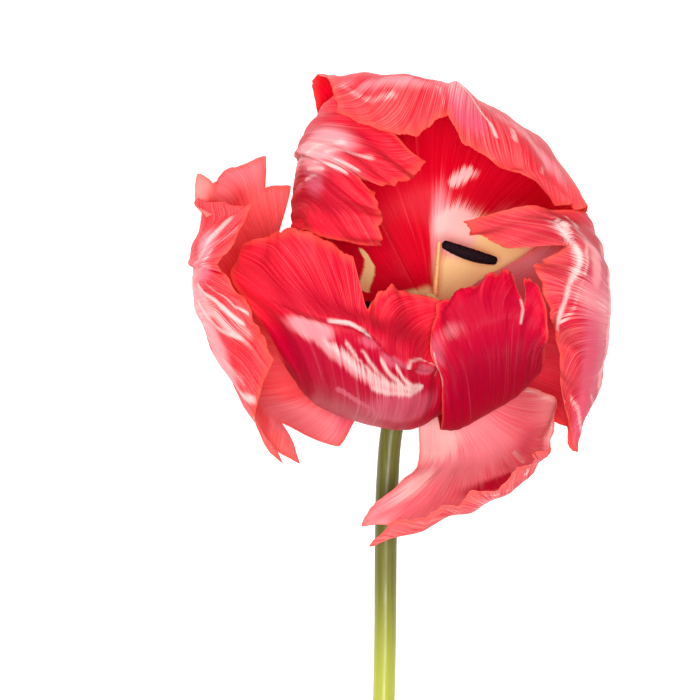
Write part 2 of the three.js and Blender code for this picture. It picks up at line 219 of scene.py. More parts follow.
def raised(height, strength, distance):
    """Small bumps that only change how the light falls."""
    inputs = {"Height": height, "Strength": strength, "Distance": distance}
    return node(height.tree, "ShaderNodeBump", inputs)


def coat(skin, roughness, **more):
    """A Principled shader. The words of its other inputs are joined by underscores."""
    inputs = {label.replace("_", " "): value for label, value in more.items()}
    inputs = {"Base Color": skin, "Roughness": roughness, **inputs}
    return node(skin.tree, "ShaderNodeBsdfPrincipled", inputs)


# %% Helpers for Geometry Nodes
FLOAT = "NodeSocketFloat"
COUNT = "NodeSocketInt"


def new_tree(name, sizes):
    """An empty Geometry Nodes tree with named inputs for sizes, counts and a material."""
    tree = bpy.data.node_groups.new(name, "GeometryNodeTree")
    kinds = {"Geometry": "NodeSocketGeometry", **sizes, "Material": "NodeSocketMaterial"}
    for label, kind in kinds.items():
        tree.interface.new_socket(label, in_out="INPUT", socket_type=kind)
    tree.interface.new_socket("Geometry", in_out="OUTPUT", socket_type="NodeSocketGeometry")
    given = tree.nodes.new("NodeGroupInput").outputs
    return tree, {label: Output(tree, given[label]) for label in kinds}


def close_tree(geometry, material):
    """Ends a tree: instances become real, and everything gets its material."""
    tree = geometry.tree
    real = node(tree, "GeometryNodeRealizeInstances", {"Geometry": geometry})
    worn = node(tree, "GeometryNodeSetMaterial", {"Geometry": real, "Material": material})
    node(tree, "NodeGroupOutput", {"Geometry": worn})
    return tree


# %% Helpers for pieces
def as_mesh(name, source, tree, sizes):
    """Runs a Geometry Nodes tree on an object and keeps the result as a plain mesh piece."""
    modifier = source.modifiers.new(tree.name, "NODES")
    modifier.node_group = tree
    for socket in tree.interface.items_tree:
        if socket.in_out == "INPUT" and socket.name in sizes:
            modifier[socket.identifier] = sizes[socket.name]
    seen = source.evaluated_get(bpy.context.evaluated_depsgraph_get())
    mesh = bpy.data.meshes.new_from_object(seen)
    bpy.data.objects.remove(source)
    mesh.name = name
    return new_object(name, mesh)


def new_object(name, data):
    """An object at the origin of the frame, in the scene."""
    made = bpy.data.objects.new(name, data)
    bpy.context.scene.collection.objects.link(made)
    return made


def takes_place_of(piece, solid):
    """A finished piece is shaded smooth and goes where its solid is, and that solid is hidden."""
    for face in piece.data.polygons:
        face.use_smooth = True
    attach(piece, "root")
    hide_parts(solid)
    piece.data.calc_loop_triangles()
    print(piece.name, "has", len(piece.data.loop_triangles), "triangles")


# %% [markdown]
# ## The shape of a petal
#
# A real petal is one thin blade. It starts as a narrow claw on the flower's receptacle, widens,
# rises and curls over at the top. It could be sculpted, but a net of points is easier to steer:
# seven rows of five points say where the blade's middle runs, and a smooth curve goes through
# them both ways. The frame's solids were made from the same nets, so the fine petals grow exactly
# where the solids are.

# %% The nets of the petals
CLAW_RADIUS = 6.0
CLAW_WIDTH = 4.6
INNER_RISE = 0.9
OUTER_RISE = -1.6
STRAIGHT_SIDE = [[0, 1], [1, 1]]
MIDRIB_BAND = 0.5

# "tip" pairs a place across the blade, from -1 to 1, with how far up the net it reaches there.
# "first_side" and "second_side" pair a place up the blade with how far across it reaches there.
# Each of the "folds" is a line of places across and up, its height and its width in millimetres.
# "band" says how strongly a pale band shows up the midrib, where that isn't MIDRIB_BAND.
PETALS = {
    "petal_back": {
        "angle": 75, "rise": OUTER_RISE, "seed": 1, "ruffle": 1.3,
        "net": [
            [[18.5, 12, 5], [14, 17.5, 4], [8, 21, 3], [3, 21, 3.8], [-1.5, 18, 5]],
            [[31, 19, 9], [21, 30, 2.6], [9, 34, -0.8], [-2, 34.5, 1], [-11, 31, 4]],
            [[42, 29, 25], [30, 42, 12], [10, 48, 6], [-6, 49, 8], [-18, 46, 13]],
            [[44.5, 31.5, 42], [33, 49, 30], [11.5, 60, 22], [-6, 62, 22], [-21.5, 60, 30]],
            [[43, 32, 54], [32, 48, 52], [12, 61.5, 44], [-4, 64.5, 44], [-21, 65.5, 42]],
            [[40, 33.5, 58], [29, 45, 62], [11.5, 61, 58], [-3, 62, 58], [-17, 60.5, 56]],
            [[37, 36, 57], [22, 42.5, 64], [10, 50, 63], [-1, 49.5, 63], [-15.6, 55, 58]],
        ],
        "tip": [[-1, 1], [-0.2, 1], [-0.08, 0.985], [0, 0.955], [0.12, 0.97], [0.3, 1], [1, 1]],
        "folds": [([(0.0, 0.72), (0.02, 0.9), (0.05, 1.0)], 1.0, 2.2)],
    },
    "petal_upper_left": {
        "angle": 125, "rise": INNER_RISE, "seed": 2, "ruffle": 1.1,
        "net": [
            [[0.5, 19, 10], [-3.5, 18, 8], [-6.5, 16, 6], [-8.5, 13, 7], [-8.5, 8.5, 10.5]],
            [[-8, 35, 13], [-14, 32, 6.5], [-20, 27, -0.8], [-23, 21, 4], [-22, 14, 13]],
            [[-16, 48, 24], [-22, 45, 14], [-25, 38, 14], [-26.5, 31, 16], [-25, 23, 26]],
            [[-16.5, 59, 38], [-23.5, 51, 32], [-25.5, 43, 32], [-26, 34, 34], [-26, 27, 38]],
            [[-12, 57, 52], [-19, 51, 52], [-23.5, 45.5, 52], [-22, 37, 52], [-22, 27, 50]],
            [[-4, 51, 57], [-9, 46, 61], [-16, 43.5, 63], [-15, 35, 60], [-14, 24, 56]],
            [[5.5, 43.5, 57], [1, 38.5, 61], [-7, 37, 62.5], [-5, 32, 60], [-5, 23.5, 54]],
        ],
        "tip": [[-1, 1], [-0.15, 1], [0, 0.95], [0.12, 1], [1, 1]],
        "folds": [([(-0.12, 0.58), (0.07, 0.78), (0.16, 0.88), (0.14, 1.02)], 1.4, 2.0)],
    },
    "petal_right": {
        "angle": 0, "rise": OUTER_RISE, "seed": 3, "ruffle": 1.2,
        "net": [
            [[17, -5, 7], [20, -0.5, 5], [21, 4, 4.5], [20, 9.5, 6.5], [16.5, 14, 10.5]],
            [[27, -13, 7], [31, -7, 2.6], [34, 3, -0.8], [33.5, 12, 2.8], [27.5, 20.5, 14]],
            [[34, -17, 20], [43, -10, 12], [46, 4, 8], [44, 17, 13], [38, 27, 24]],
            [[39.5, -20, 32], [47, -10, 29], [49.7, 8, 28], [48, 21, 32], [43.5, 30, 38]],
            [[40.4, -25.5, 40], [46, -10, 44], [48.5, 9, 48], [47, 22, 50], [40, 32.5, 52]],
            [[40, -20, 44], [43, -4, 52], [43, 12, 60], [41.5, 24, 62], [29, 33, 59]],
            [[38, -13, 48], [36.3, 1, 54.5], [31.2, 17, 61], [25.5, 22, 62], [13.8, 30, 56]],
        ],
        "tip": [[-1, 1], [0.08, 1], [0.33, 0.955], [0.5, 0.885], [0.58, 1], [0.78, 1.03], [1, 1]],
        "folds": [(
            [(0.75, 0.84), (0.5, 0.875), (0.36, 0.88), (0.14, 0.89), (-0.14, 0.93), (-0.39, 0.99)],
            1.3, 1.6,
        )],
    },
    "petal_left": {
        "angle": 180, "rise": OUTER_RISE, "seed": 4, "ruffle": 1.3,
        "net": [
            [[-11, 10, 6], [-12.5, 6.5, 4.5], [-13, 2, 4], [-11, -4, 5.5], [-6, -8, 10]],
            [[-26, 18, 5], [-29, 12, 2], [-31, 2, -0.8], [-26.5, -10, 2.8], [-15, -22, 12]],
            [[-28, 35, 22], [-37, 24, 12], [-44, 5, 10], [-38, -9, 12], [-24, -24, 21]],
            [[-33.5, 46.5, 37], [-44, 29, 30], [-49, 14, 28], [-44, -3, 28], [-29, -27, 33]],
            [[-43, 42.5, 45], [-49, 27, 50], [-50.5, 16, 46], [-47, 3, 46], [-31.5, -26, 43]],
            [[-50.5, 37.5, 50], [-46, 27, 60], [-48, 19, 60], [-43, 8, 58], [-34.5, -15, 49]],
            [[-46, 29.5, 57], [-36, 33.5, 61], [-42, 19, 62], [-36, 8, 60], [-31, -3, 54]],
        ],
        "tip": [[-1, 1], [-0.1, 1], [0, 0.95], [0.15, 1], [1, 1]],
        "first_side": [
            [0, 1], [0.3125, 1], [0.375, 0.8], [0.4375, 1.1], [0.5, 0.86], [0.5625, 1], [0.625, 0.9],
            [0.6875, 0.94], [0.75, 0.9], [0.8125, 1.04], [0.86, 0.88], [0.9375, 1], [1, 1],
        ],
        "second_side": [
            [0, 1], [0.1875, 1], [0.25, 1.02], [0.3125, 1.06], [0.375, 0.95], [0.4375, 0.84],
            [0.5, 1.08], [0.5625, 0.93], [0.625, 0.97], [0.6875, 1.05], [0.75, 1], [0.8125, 0.97],
            [0.9, 1], [1, 1],
        ],
        "folds": [([(-0.2, 0.62), (-0.1, 0.76), (0.07, 0.9), (0.1, 1.0)], 1.3, 2.2)],
    },
    "petal_front_left": {
        "angle": 240, "rise": INNER_RISE, "seed": 5, "ruffle": 1.0, "band": 0.15,
        "net": [
            [[-8, -5, 18], [-5, -8, 16], [-1.5, -9.5, 15], [1.5, -10, 16], [4, -8.5, 18.5]],
            [[-20, -9, 24], [-14, -15, 20], [-6, -18, 18], [2, -18.5, 20], [9, -15, 26.5]],
            [[-28, -6, 36], [-21, -14, 32], [-9, -18.5, 31], [2, -19.8, 33], [11, -15, 38]],
            [[-30, -1, 46], [-20, -9, 49], [-8, -13, 50], [3, -13, 50], [11, -8, 46]],
            [[-38, 10, 50], [-22, 4, 60], [-10, 3, 62], [-0.5, -1, 61], [9.5, -3, 51]],
            [[-41, 18, 48], [-27, 15.5, 57], [-11, 9.5, 57.5], [-2, 6.5, 55.5], [9.5, 5, 50]],
            [[-38, 24, 46], [-27, 28, 55], [-12, 22, 55], [-3, 15, 54], [10, 10.5, 49]],
        ],
        "tip": [[-1, 1], [-0.1, 1], [0, 0.99], [0.1, 0.86], [0.25, 0.915], [0.5, 0.995], [1, 1]],
        "folds": [
            ([(-0.55, 0.755), (-0.27, 0.74), (0.13, 0.71), (0.42, 0.665), (0.62, 0.655)], 1.7, 1.9),
        ],
    },
    "petal_front_right": {
        "angle": 310, "rise": INNER_RISE, "seed": 6, "ruffle": 0.9, "band": 0.0,
        "net": [
            [[6.5, -9.5, 17], [9.5, -9, 16], [12.5, -7, 15], [14.5, -3, 16], [15, 1, 18]],
            [[8.5, -17.5, 25], [12, -17.5, 20], [18, -15, 18], [23, -11, 20], [25, -5, 24]],
            [[9, -20, 38], [14, -19.5, 34], [21, -15.5, 33], [28, -11.5, 35], [33, -6, 41]],
            [[9, -9.5, 51], [14, -8, 53], [21, -4, 55], [28, -2, 56], [34, 0, 56]],
            [[6.5, -1, 57], [13, 0, 60], [20, 4, 61.5], [27, 6, 61.5], [34.5, 6, 60]],
            [[7.5, 7, 58], [12, 9, 60], [19, 12, 60], [26, 12, 60], [33, 12, 60]],
            [[10, 10.5, 56], [14.5, 13, 57], [21, 17, 57], [25.5, 17.5, 57], [30, 16, 58]],
        ],
        "tip": [[-1, 1], [0.54, 1], [0.667, 0.8], [0.79, 0.98], [1, 1]],
    },
    "petal_fallen": {
        "angle": 290, "rise": OUTER_RISE, "seed": 7, "ruffle": 0.9,
        "net": [
            [[4.5, -10, 11], [7.5, -10.5, 8.5], [10.5, -10, 8], [13.5, -8, 9], [15.5, -4.5, 12]],
            [[4, -20, 12], [9, -20, 8], [15, -19, 7], [21, -16, 10], [26, -9, 14]],
            [[3.5, -29, 20], [10, -28, 14], [19, -26, 13], [27, -22, 17], [34, -11, 26]],
            [[-3, -35, 33], [8, -33, 22], [20, -31, 22], [30, -27, 26], [37, -14, 34]],
            [[-10.5, -42, 42], [6, -39, 34], [21, -36, 34], [31, -29.5, 38], [36, -21, 42]],
            [[-9.5, -48.5, 46], [6, -43, 46], [20, -38, 46], [30.5, -31, 48], [33.5, -25.5, 47]],
            [[-3, -43.5, 50], [7, -40, 52], [16, -36, 53], [27, -31, 54], [31, -26, 52]],
        ],
        "tip": [[-1, 1], [1, 1]],
        "first_side": [[0, 1], [0.66, 1], [0.75, 0.97], [0.8125, 0.46], [0.875, 0.98], [1, 1]],
    },
}
print(len(PETALS), "petals")

# %% Smooth curves through a row of points
SMALL_STEP = 0.004


def pulls(at, count):
    """How strongly each of count even points pulls on a smooth curve, at each place along it."""
    start = np.clip(np.floor(at).astype(int), 0, count - 2)
    f = at - start
    parts = (
        -0.5 * f + f**2 - 0.5 * f**3,
        1 - 2.5 * f**2 + 1.5 * f**3,
        0.5 * f + 2 * f**2 - 1.5 * f**3,
        -0.5 * f**2 + 0.5 * f**3,
    )
    # One point more at either end carries the curve straight on.
    share = np.zeros((len(at), count + 2))
    for step, part in enumerate(parts):
        share[np.arange(len(at)), start + step] += part
    inner = share[:, 1:-1].copy()
    inner[:, 0] += 2 * share[:, 0]
    inner[:, 1] -= share[:, 0]
    inner[:, -1] += 2 * share[:, -1]
    inner[:, -2] -= share[:, -1]
    return inner


def petal_rows(petal):
    """The claw's row on the rim of the receptacle, and the seven rows of the net."""
    half = math.degrees(CLAW_WIDTH / 2 / CLAW_RADIUS)
    places = [petal["angle"] + across * half for across in (-1, -0.5, 0, 0.5, 1)]
    claw = [on_bloom(place, CLAW_RADIUS, petal["rise"]) for place in places]
    return np.array([claw, *petal["net"]], float)


def on_net(rows, u, v):
    """Places on the net, u across from -1 to 1 and v along from 0 to 1."""
    along = pulls(v * (len(rows) - 1), len(rows))
    across = pulls((u + 1) / 2 * (rows.shape[1] - 1), rows.shape[1])
    return np.einsum("nr,nc,rcx->nx", along, across, rows)


def facing(rows, u, v):
    """The direction that the blade's outer face, its back, looks in."""
    du = on_net(rows, u + SMALL_STEP, v) - on_net(rows, u - SMALL_STEP, v)
    dv = on_net(rows, u, v + SMALL_STEP) - on_net(rows, u, v - SMALL_STEP)
    normal = np.cross(du, dv)
    return normal / np.linalg.norm(normal, axis=1, keepdims=True)


# %% [markdown]
# ## The wild edge
#
# What makes a parrot tulip is its edge. Three things happen there on the real petal. The blade
# grows faster at the rim than inside, so it has to ruffle. The rim is cut into rounded scallops.
# And each scallop is fringed with small teeth. All three are simple waves that grow towards the
# edge, each a few times shorter than the one before, so they are written as functions and not
# sculpted. Further in, the blade has a few sharp folds, and shallow flutes along its veins.

# %% Ruffles and teeth
SCALLOPS_ACROSS = 12
SCALLOPS_ALONG = 8
SCALLOP_DEPTH_TIP = 0.017
SCALLOP_DEPTH_SIDE = 0.028
FRINGE_PER_SCALLOP = 4.3
FRINGE_DEPTH = 0.3
SHALLOWEST = 0.15
CRINKLE_HEIGHT = 0.35
SIDE_RUFFLES = 4.2
TIP_RUFFLES = 2.1


def smoothstep(value, low, high):
    """A soft step from 0 at low to 1 at high."""
    share = np.clip((value - low) / (high - low), 0, 1)
    return share * share * (3 - 2 * share)


def scatter(place, seed):
    """A number from 0 to 1 that looks random and is the same every time."""
    wave = np.sin(place * 12.9898 + seed * 78.233) * 43758.5453
    return wave - np.floor(wave)


def scallop(place, seed):
    """An uneven row of notches: 0 on the points between them, up to 1 at the bottom of each."""
    nearest = np.floor(place + 0.5)
    depth = SHALLOWEST + (1 - SHALLOWEST) * scatter(nearest, seed) ** 2
    open_part = 1 - np.abs(2 * (place - nearest))
    return depth * open_part**1.2


def fringed(place, seed):
    """Scallops with a finer row of teeth cut into them."""
    fine = scallop(place * FRINGE_PER_SCALLOP, seed + 40)
    return scallop(place, seed) + FRINGE_DEPTH * fine


def near_rim(across, along, side_from, foot, tip_from):
    """1 on the rim and 0 well inside it. The sides only count from the foot's two places upwards."""
    sides = smoothstep(np.abs(across), side_from, 1) * smoothstep(along, *foot)
    return np.maximum(sides, smoothstep(along, tip_from, 1))


def ruffle(petal, u, v):
    """How far the ruffles lift the blade. They grow towards the tip and both sides."""
    seed = petal["seed"]
    side = smoothstep(np.abs(u), 0.55, 1) * smoothstep(v, 0.3, 0.6)
    tip = smoothstep(v, 0.68, 1)
    turn = 2 * math.pi
    along_side = np.sin(turn * (SIDE_RUFFLES * v + 0.37 * seed + np.where(u > 0, 0.4, 0)))
    along_tip = np.sin(turn * (TIP_RUFFLES * u + 0.23 * seed) + 0.9 * np.sin(5 * u + seed))
    return petal["ruffle"] * (0.8 * side * along_side + tip * along_tip)


def crinkle(petal, u, v):
    """Small creases right at the edge."""
    seed = petal["seed"]
    waves = np.sin(41 * v + 17 * u + seed) * np.sin(29 * u - 13 * v + 2 * seed)
    rim = near_rim(u, v, side_from=0.8, foot=(0.4, 0.7), tip_from=0.86)
    return CRINKLE_HEIGHT * rim * waves


# %% Folds and flutes
HALF_WIDTH = 22.0
LENGTH = 82.0
FOLD_STEP = 0.45
FOLD_LIP = 0.15
VEIN_SPREAD = 0.88
FLUTES_ACROSS = 6.5
FLUTE_HEIGHT = 0.34


def beside(line, u, v):
    """How far each place is from a line on the petal, in millimetres, and above 0 on its left."""
    place = np.stack([u * HALF_WIDTH, v * LENGTH], 1)
    ends = np.array(line) * (HALF_WIDTH, LENGTH)
    nearest = np.full(len(u), np.inf)
    side = np.ones(len(u))
    for start, end in zip(ends[:-1], ends[1:]):
        way = end - start
        offset = place - start
        share = np.clip(offset @ way / (way @ way), 0, 1)
        distance = np.linalg.norm(offset - share[:, None] * way, axis=1)
        turn = way[0] * offset[:, 1] - way[1] * offset[:, 0]
        side = np.where(distance < nearest, np.sign(turn), side)
        nearest = np.minimum(nearest, distance)
    return nearest * side


def creases(petal, u, v):
    """Sharp folds: a lip on the left of each line, and a shallower hollow on its right."""
    lift = np.zeros(len(u))
    for line, height, width in petal.get("folds", []):
        distance = beside(line, u, v)
        step = FOLD_LIP + (1 - FOLD_LIP) * np.tanh(distance / FOLD_STEP)
        lift += height * step * np.exp(-np.abs(distance) / width)
    return lift


def vein_at(u, v):
    """Which vein runs through each place: its distance from the midrib before the veins spread."""
    return u * (1 - VEIN_SPREAD * np.clip(v, 0, 1) ** 1.5)


def flutes(petal, u, v):
    """Shallow flutes that run out from the midrib with the veins."""
    seed = petal["seed"]
    turns = FLUTES_ACROSS * vein_at(u, v) + 0.3 * seed
    waves = np.sin(2 * math.pi * turns + 1.2 * np.sin(7 * v + seed))
    return FLUTE_HEIGHT * waves * smoothstep(v, 0.3, 0.7) * smoothstep(np.abs(u), 0.05, 0.4)


def side_reach(petal, across, v):
    """How far across the blade reaches, on the first side and on the second."""
    first, second = [
        np.interp(v, *np.transpose(petal.get(label, STRAIGHT_SIDE)))
        for label in ("first_side", "second_side")
    ]
    return np.where(across < 0, first, second)


def cut_blade(petal, across, along):
    """Places on the blade once its outline is cut, with where each lies on the net."""
    seed = petal["seed"]
    reach = np.interp(across, *np.transpose(petal["tip"]))
    tip_cut = SCALLOP_DEPTH_TIP * fringed((across + 1) * SCALLOPS_ACROSS / 2 + 0.5, seed)
    v = along * reach - tip_cut * along**6
    side_seed = seed + np.where(across > 0, 20, 10)
    side_cut = SCALLOP_DEPTH_SIDE * fringed(v * SCALLOPS_ALONG + 0.5, side_seed)
    side_cut = side_cut * smoothstep(v, 0.25, 0.5) * np.abs(across) ** 6
    u = across * (side_reach(petal, across, v) - side_cut)
    rows = petal_rows(petal)
    lift = sum(shape(petal, u, v) for shape in (ruffle, crinkle, creases, flutes))
    return on_net(rows, u, v) + facing(rows, u, v) * lift[:, None], u, v


print("folds:", sum(len(petal.get("folds", [])) for petal in PETALS.values()))

# %% [markdown]
# ## From a surface to a blade
#
# A blade needs two faces and a rim. The middle surface is sampled on a fine grid, and each point
# is pushed half the thickness both ways. A real petal is about half a millimetre thick over its
# midrib and as thin as paper at the edge. Each corner also keeps where it lies on the petal: how
# far along, which vein runs through it, and whether it is on the outer face. The finishes read
# those later. Veins leave the midrib and bend outwards to the rim, so a vein is a line on which
# the distance from the midrib, divided by how far the veins have spread, stays the same.

# %% Mesh of a petal
GRID_ACROSS = 180
GRID_ALONG = 148
TABLE_BEND = 0.6
THICK_MIDRIB = 0.5
THICK_BLADE = 0.34
THICK_EDGE = 0.14
# Kinds of mark. Painted highlights run along the folds, painted sheen is mixed into the feathers and
# blushes, and painted shade into the mauve and shade marks.
MARKS = ("gleam", "feather", "blush", "mauve", "shade", "cream")


def blade_faces(wide, high):
    """The quads of two matching grids and of the wall that joins their rims."""
    corner = np.arange(wide * high).reshape(high, wide)
    a, b = corner[:-1, :-1].ravel(), corner[:-1, 1:].ravel()
    c, d = corner[1:, 1:].ravel(), corner[1:, :-1].ravel()
    count = wide * high
    outer = np.stack([a, b, c, d], 1)
    inner = np.stack([a, d, c, b], 1) + count
    rim = np.concatenate([corner[0, :-1], corner[:-1, -1], corner[-1, :0:-1], corner[:0:-1, 0]])
    after = np.roll(rim, -1)
    wall = np.stack([rim, rim + count, after + count, after], 1)
    return np.concatenate([outer, inner, wall])


def blade_thickness(across, along):
    """Thick over the midrib and at the claw, and thin at the edge."""
    midrib = np.exp(-((across / 0.07) ** 2)) * (1 - smoothstep(along, 0.5, 0.9))
    thick_part = np.maximum(midrib, 1 - smoothstep(along, 0, 0.12))
    body = THICK_BLADE + (THICK_MIDRIB - THICK_BLADE) * thick_part
    edge = np.maximum(smoothstep(np.abs(across), 0.8, 1), smoothstep(along, 0.85, 1))
    return body + (THICK_EDGE - body) * edge


def square_to_grid(middle):
    """The direction square to a grid of points, at each of them."""
    du = np.gradient(middle, axis=1)
    dv = np.gradient(middle, axis=0)
    normal = np.cross(du, dv)
    return normal / np.linalg.norm(normal, axis=2, keepdims=True)


def above_table(heights, clearance):
    """Heights that bend away from the table instead of passing through it."""
    return clearance + TABLE_BEND * np.logaddexp(0, (heights - clearance) / TABLE_BEND)


def petal_readings(name, u, v, across, along):
    """What the finishes read: a row of numbers for the outer face, and one for the inner."""
    same_on_both = {
        "along": v,
        "vein": vein_at(u, v),
        # Where the painted glow of the thin rim shows.
        "edge": near_rim(across, along, side_from=0.93, foot=(0.15, 0.35), tip_from=0.965),
        "margin": near_rim(across, along, side_from=0.6, foot=(0.3, 0.6), tip_from=0.8),
    }
    readings = {label: [values, values] for label, values in same_on_both.items()}
    readings["outside"] = [np.ones(len(u)), np.zeros(len(u))]
    for label in MARKS:
        readings[label] = [painted(name, label, side, u, v) for side in ("outside", "inside")]
    return readings


def petal_mesh(name, petal):
    """The closed blade of one petal, with its readings and its UV map."""
    wide, high = GRID_ACROSS + 1, GRID_ALONG + 1
    across, along = np.meshgrid(np.linspace(-1, 1, wide), np.linspace(0, 1, high))
    across, along = across.ravel(), along.ravel()
    places, u, v = cut_blade(petal, across, along)
    normal = square_to_grid(places.reshape(high, wide, 3)).reshape(-1, 3)
    half = normal * blade_thickness(across, along)[:, None] / 2
    places[:, 2] = above_table(places[:, 2], np.abs(half[:, 2]))
    points = in_frame(np.concatenate([places + half, places - half]))

    mesh = bpy.data.meshes.new(name)
    faces = blade_faces(wide, high)
    mesh.from_pydata(points.tolist(), [], faces.tolist())
    for label, rows in petal_readings(name, u, v, across, along).items():
        values = np.concatenate(rows).astype(np.float32)
        mesh.attributes.new(label, "FLOAT", "POINT").data.foreach_set("value", values)

    place_on_map = np.tile(np.stack([(u + 1) / 2, v], 1), (2, 1))
    uv = mesh.uv_layers.new(name="petal_map")
    uv.data.foreach_set("uv", place_on_map[faces.ravel()].astype(np.float32).ravel())
    return mesh


print("points on a petal:", 2 * (GRID_ACROSS + 1) * (GRID_ALONG + 1))

# %% [markdown]
# ## Where the colours lie
#
# Each petal has its own marks: pale feathers that are partly painted sheen, painted highlights where
# the blade folds, soft blushes that are partly painted sheen, mauve that is partly painted shade
# beneath the folds, painted shade in the creases and over the lower bowl, and a cream foot on the
# inner face. A blotch is a soft oval at a place across and along the petal, and a stroke follows a
# line of such places. Only the places are given here. How a mark looks, and how the veins fray its
# outline, is up to the finish.

# %% Marks on the petals
# Each blotch: what it is, its place across and along, half width, half length, strength.
BLOTCHES = {
    ("petal_back", "outside"): [
        ("blush", 0.45, 0.85, 0.5, 0.04, 0.6),
        ("mauve", -0.12, 0.9, 0.16, 0.06, 0.9),
        ("blush", -0.55, 0.76, 0.4, 0.05, 0.6),
    ],
    ("petal_back", "inside"): [
        ("cream", -0.5, 0.09, 0.5, 0.1, 1.3),
        ("cream", -0.82, 0.2, 0.28, 0.1, 1.5),
        ("feather", -0.22, 0.23, 0.22, 0.055, 2.8),
        ("cream", -0.55, 0.2, 0.32, 0.08, 1.5),
        ("blush", -0.02, 0.2, 0.12, 0.14, 1.0),
        ("blush", -0.85, 0.3, 0.3, 0.07, 1.0),
    ],
    ("petal_upper_left", "outside"): [
        ("blush", -0.2, 0.76, 0.45, 0.09, 1.1),
        ("feather", -0.2, 0.76, 0.35, 0.06, 0.6),
        ("mauve", 0.3, 0.74, 0.3, 0.06, 0.9),
    ],
    ("petal_right", "outside"): [
        ("mauve", -0.3, 0.78, 0.9, 0.1, 1.0),
        ("blush", -0.1, 0.66, 0.9, 0.04, 0.8),
        ("blush", 0.3, 0.8, 0.3, 0.04, 0.8),
        ("feather", 0.55, 0.81, 0.35, 0.05, 0.6),
    ],
    ("petal_right", "inside"): [
        ("blush", 0.8, 0.26, 0.5, 0.16, 1.2),
    ],
    ("petal_left", "outside"): [
        ("blush", -0.25, 0.86, 0.3, 0.06, 0.7),
        ("mauve", 0.1, 0.84, 0.12, 0.07, 1.0),
        ("blush", 0.45, 0.74, 0.5, 0.06, 1.0),
        ("feather", 0.4, 0.74, 0.35, 0.05, 0.55),
    ],
    ("petal_left", "inside"): [
        ("blush", -0.9, 0.62, 0.25, 0.12, 0.8),
        ("blush", 0.85, 0.38, 0.25, 0.12, 1.2),
        ("mauve", 0.92, 0.24, 0.16, 0.07, 0.9),
    ],
    ("petal_front_left", "outside"): [
        ("shade", -0.3, 0.5, 1.2, 0.18, 1.4),
        ("mauve", 0.35, 0.54, 0.4, 0.06, 1.1),
        ("mauve", 0.08, 0.692, 0.16, 0.014, 0.8),
        ("mauve", 0.34, 0.668, 0.18, 0.02, 0.9),
        ("mauve", 0.72, 0.655, 0.11, 0.02, 1.2),
        ("blush", -0.5, 0.71, 0.2, 0.03, 1.1),
    ],
    ("petal_front_right", "outside"): [
        ("shade", 0.1, 0.46, 1.2, 0.2, 1.3),
        ("mauve", -0.92, 0.7, 0.2, 0.08, 0.8),
        ("blush", -0.6, 0.77, 0.35, 0.05, 0.4),
    ],
    ("petal_fallen", "inside"): [
        ("feather", -0.65, 0.33, 0.5, 0.1, 1.7),
        ("blush", -0.3, 0.36, 0.8, 0.22, 1.3),
        ("feather", -0.72, 0.55, 0.2, 0.11, 1.2),
        ("blush", -0.9, 0.64, 0.2, 0.14, 1.2),
        ("shade", 0.12, 0.66, 0.4, 0.055, 0.9),
        ("mauve", 0.55, 0.5, 0.3, 0.08, 0.5),
    ],
}
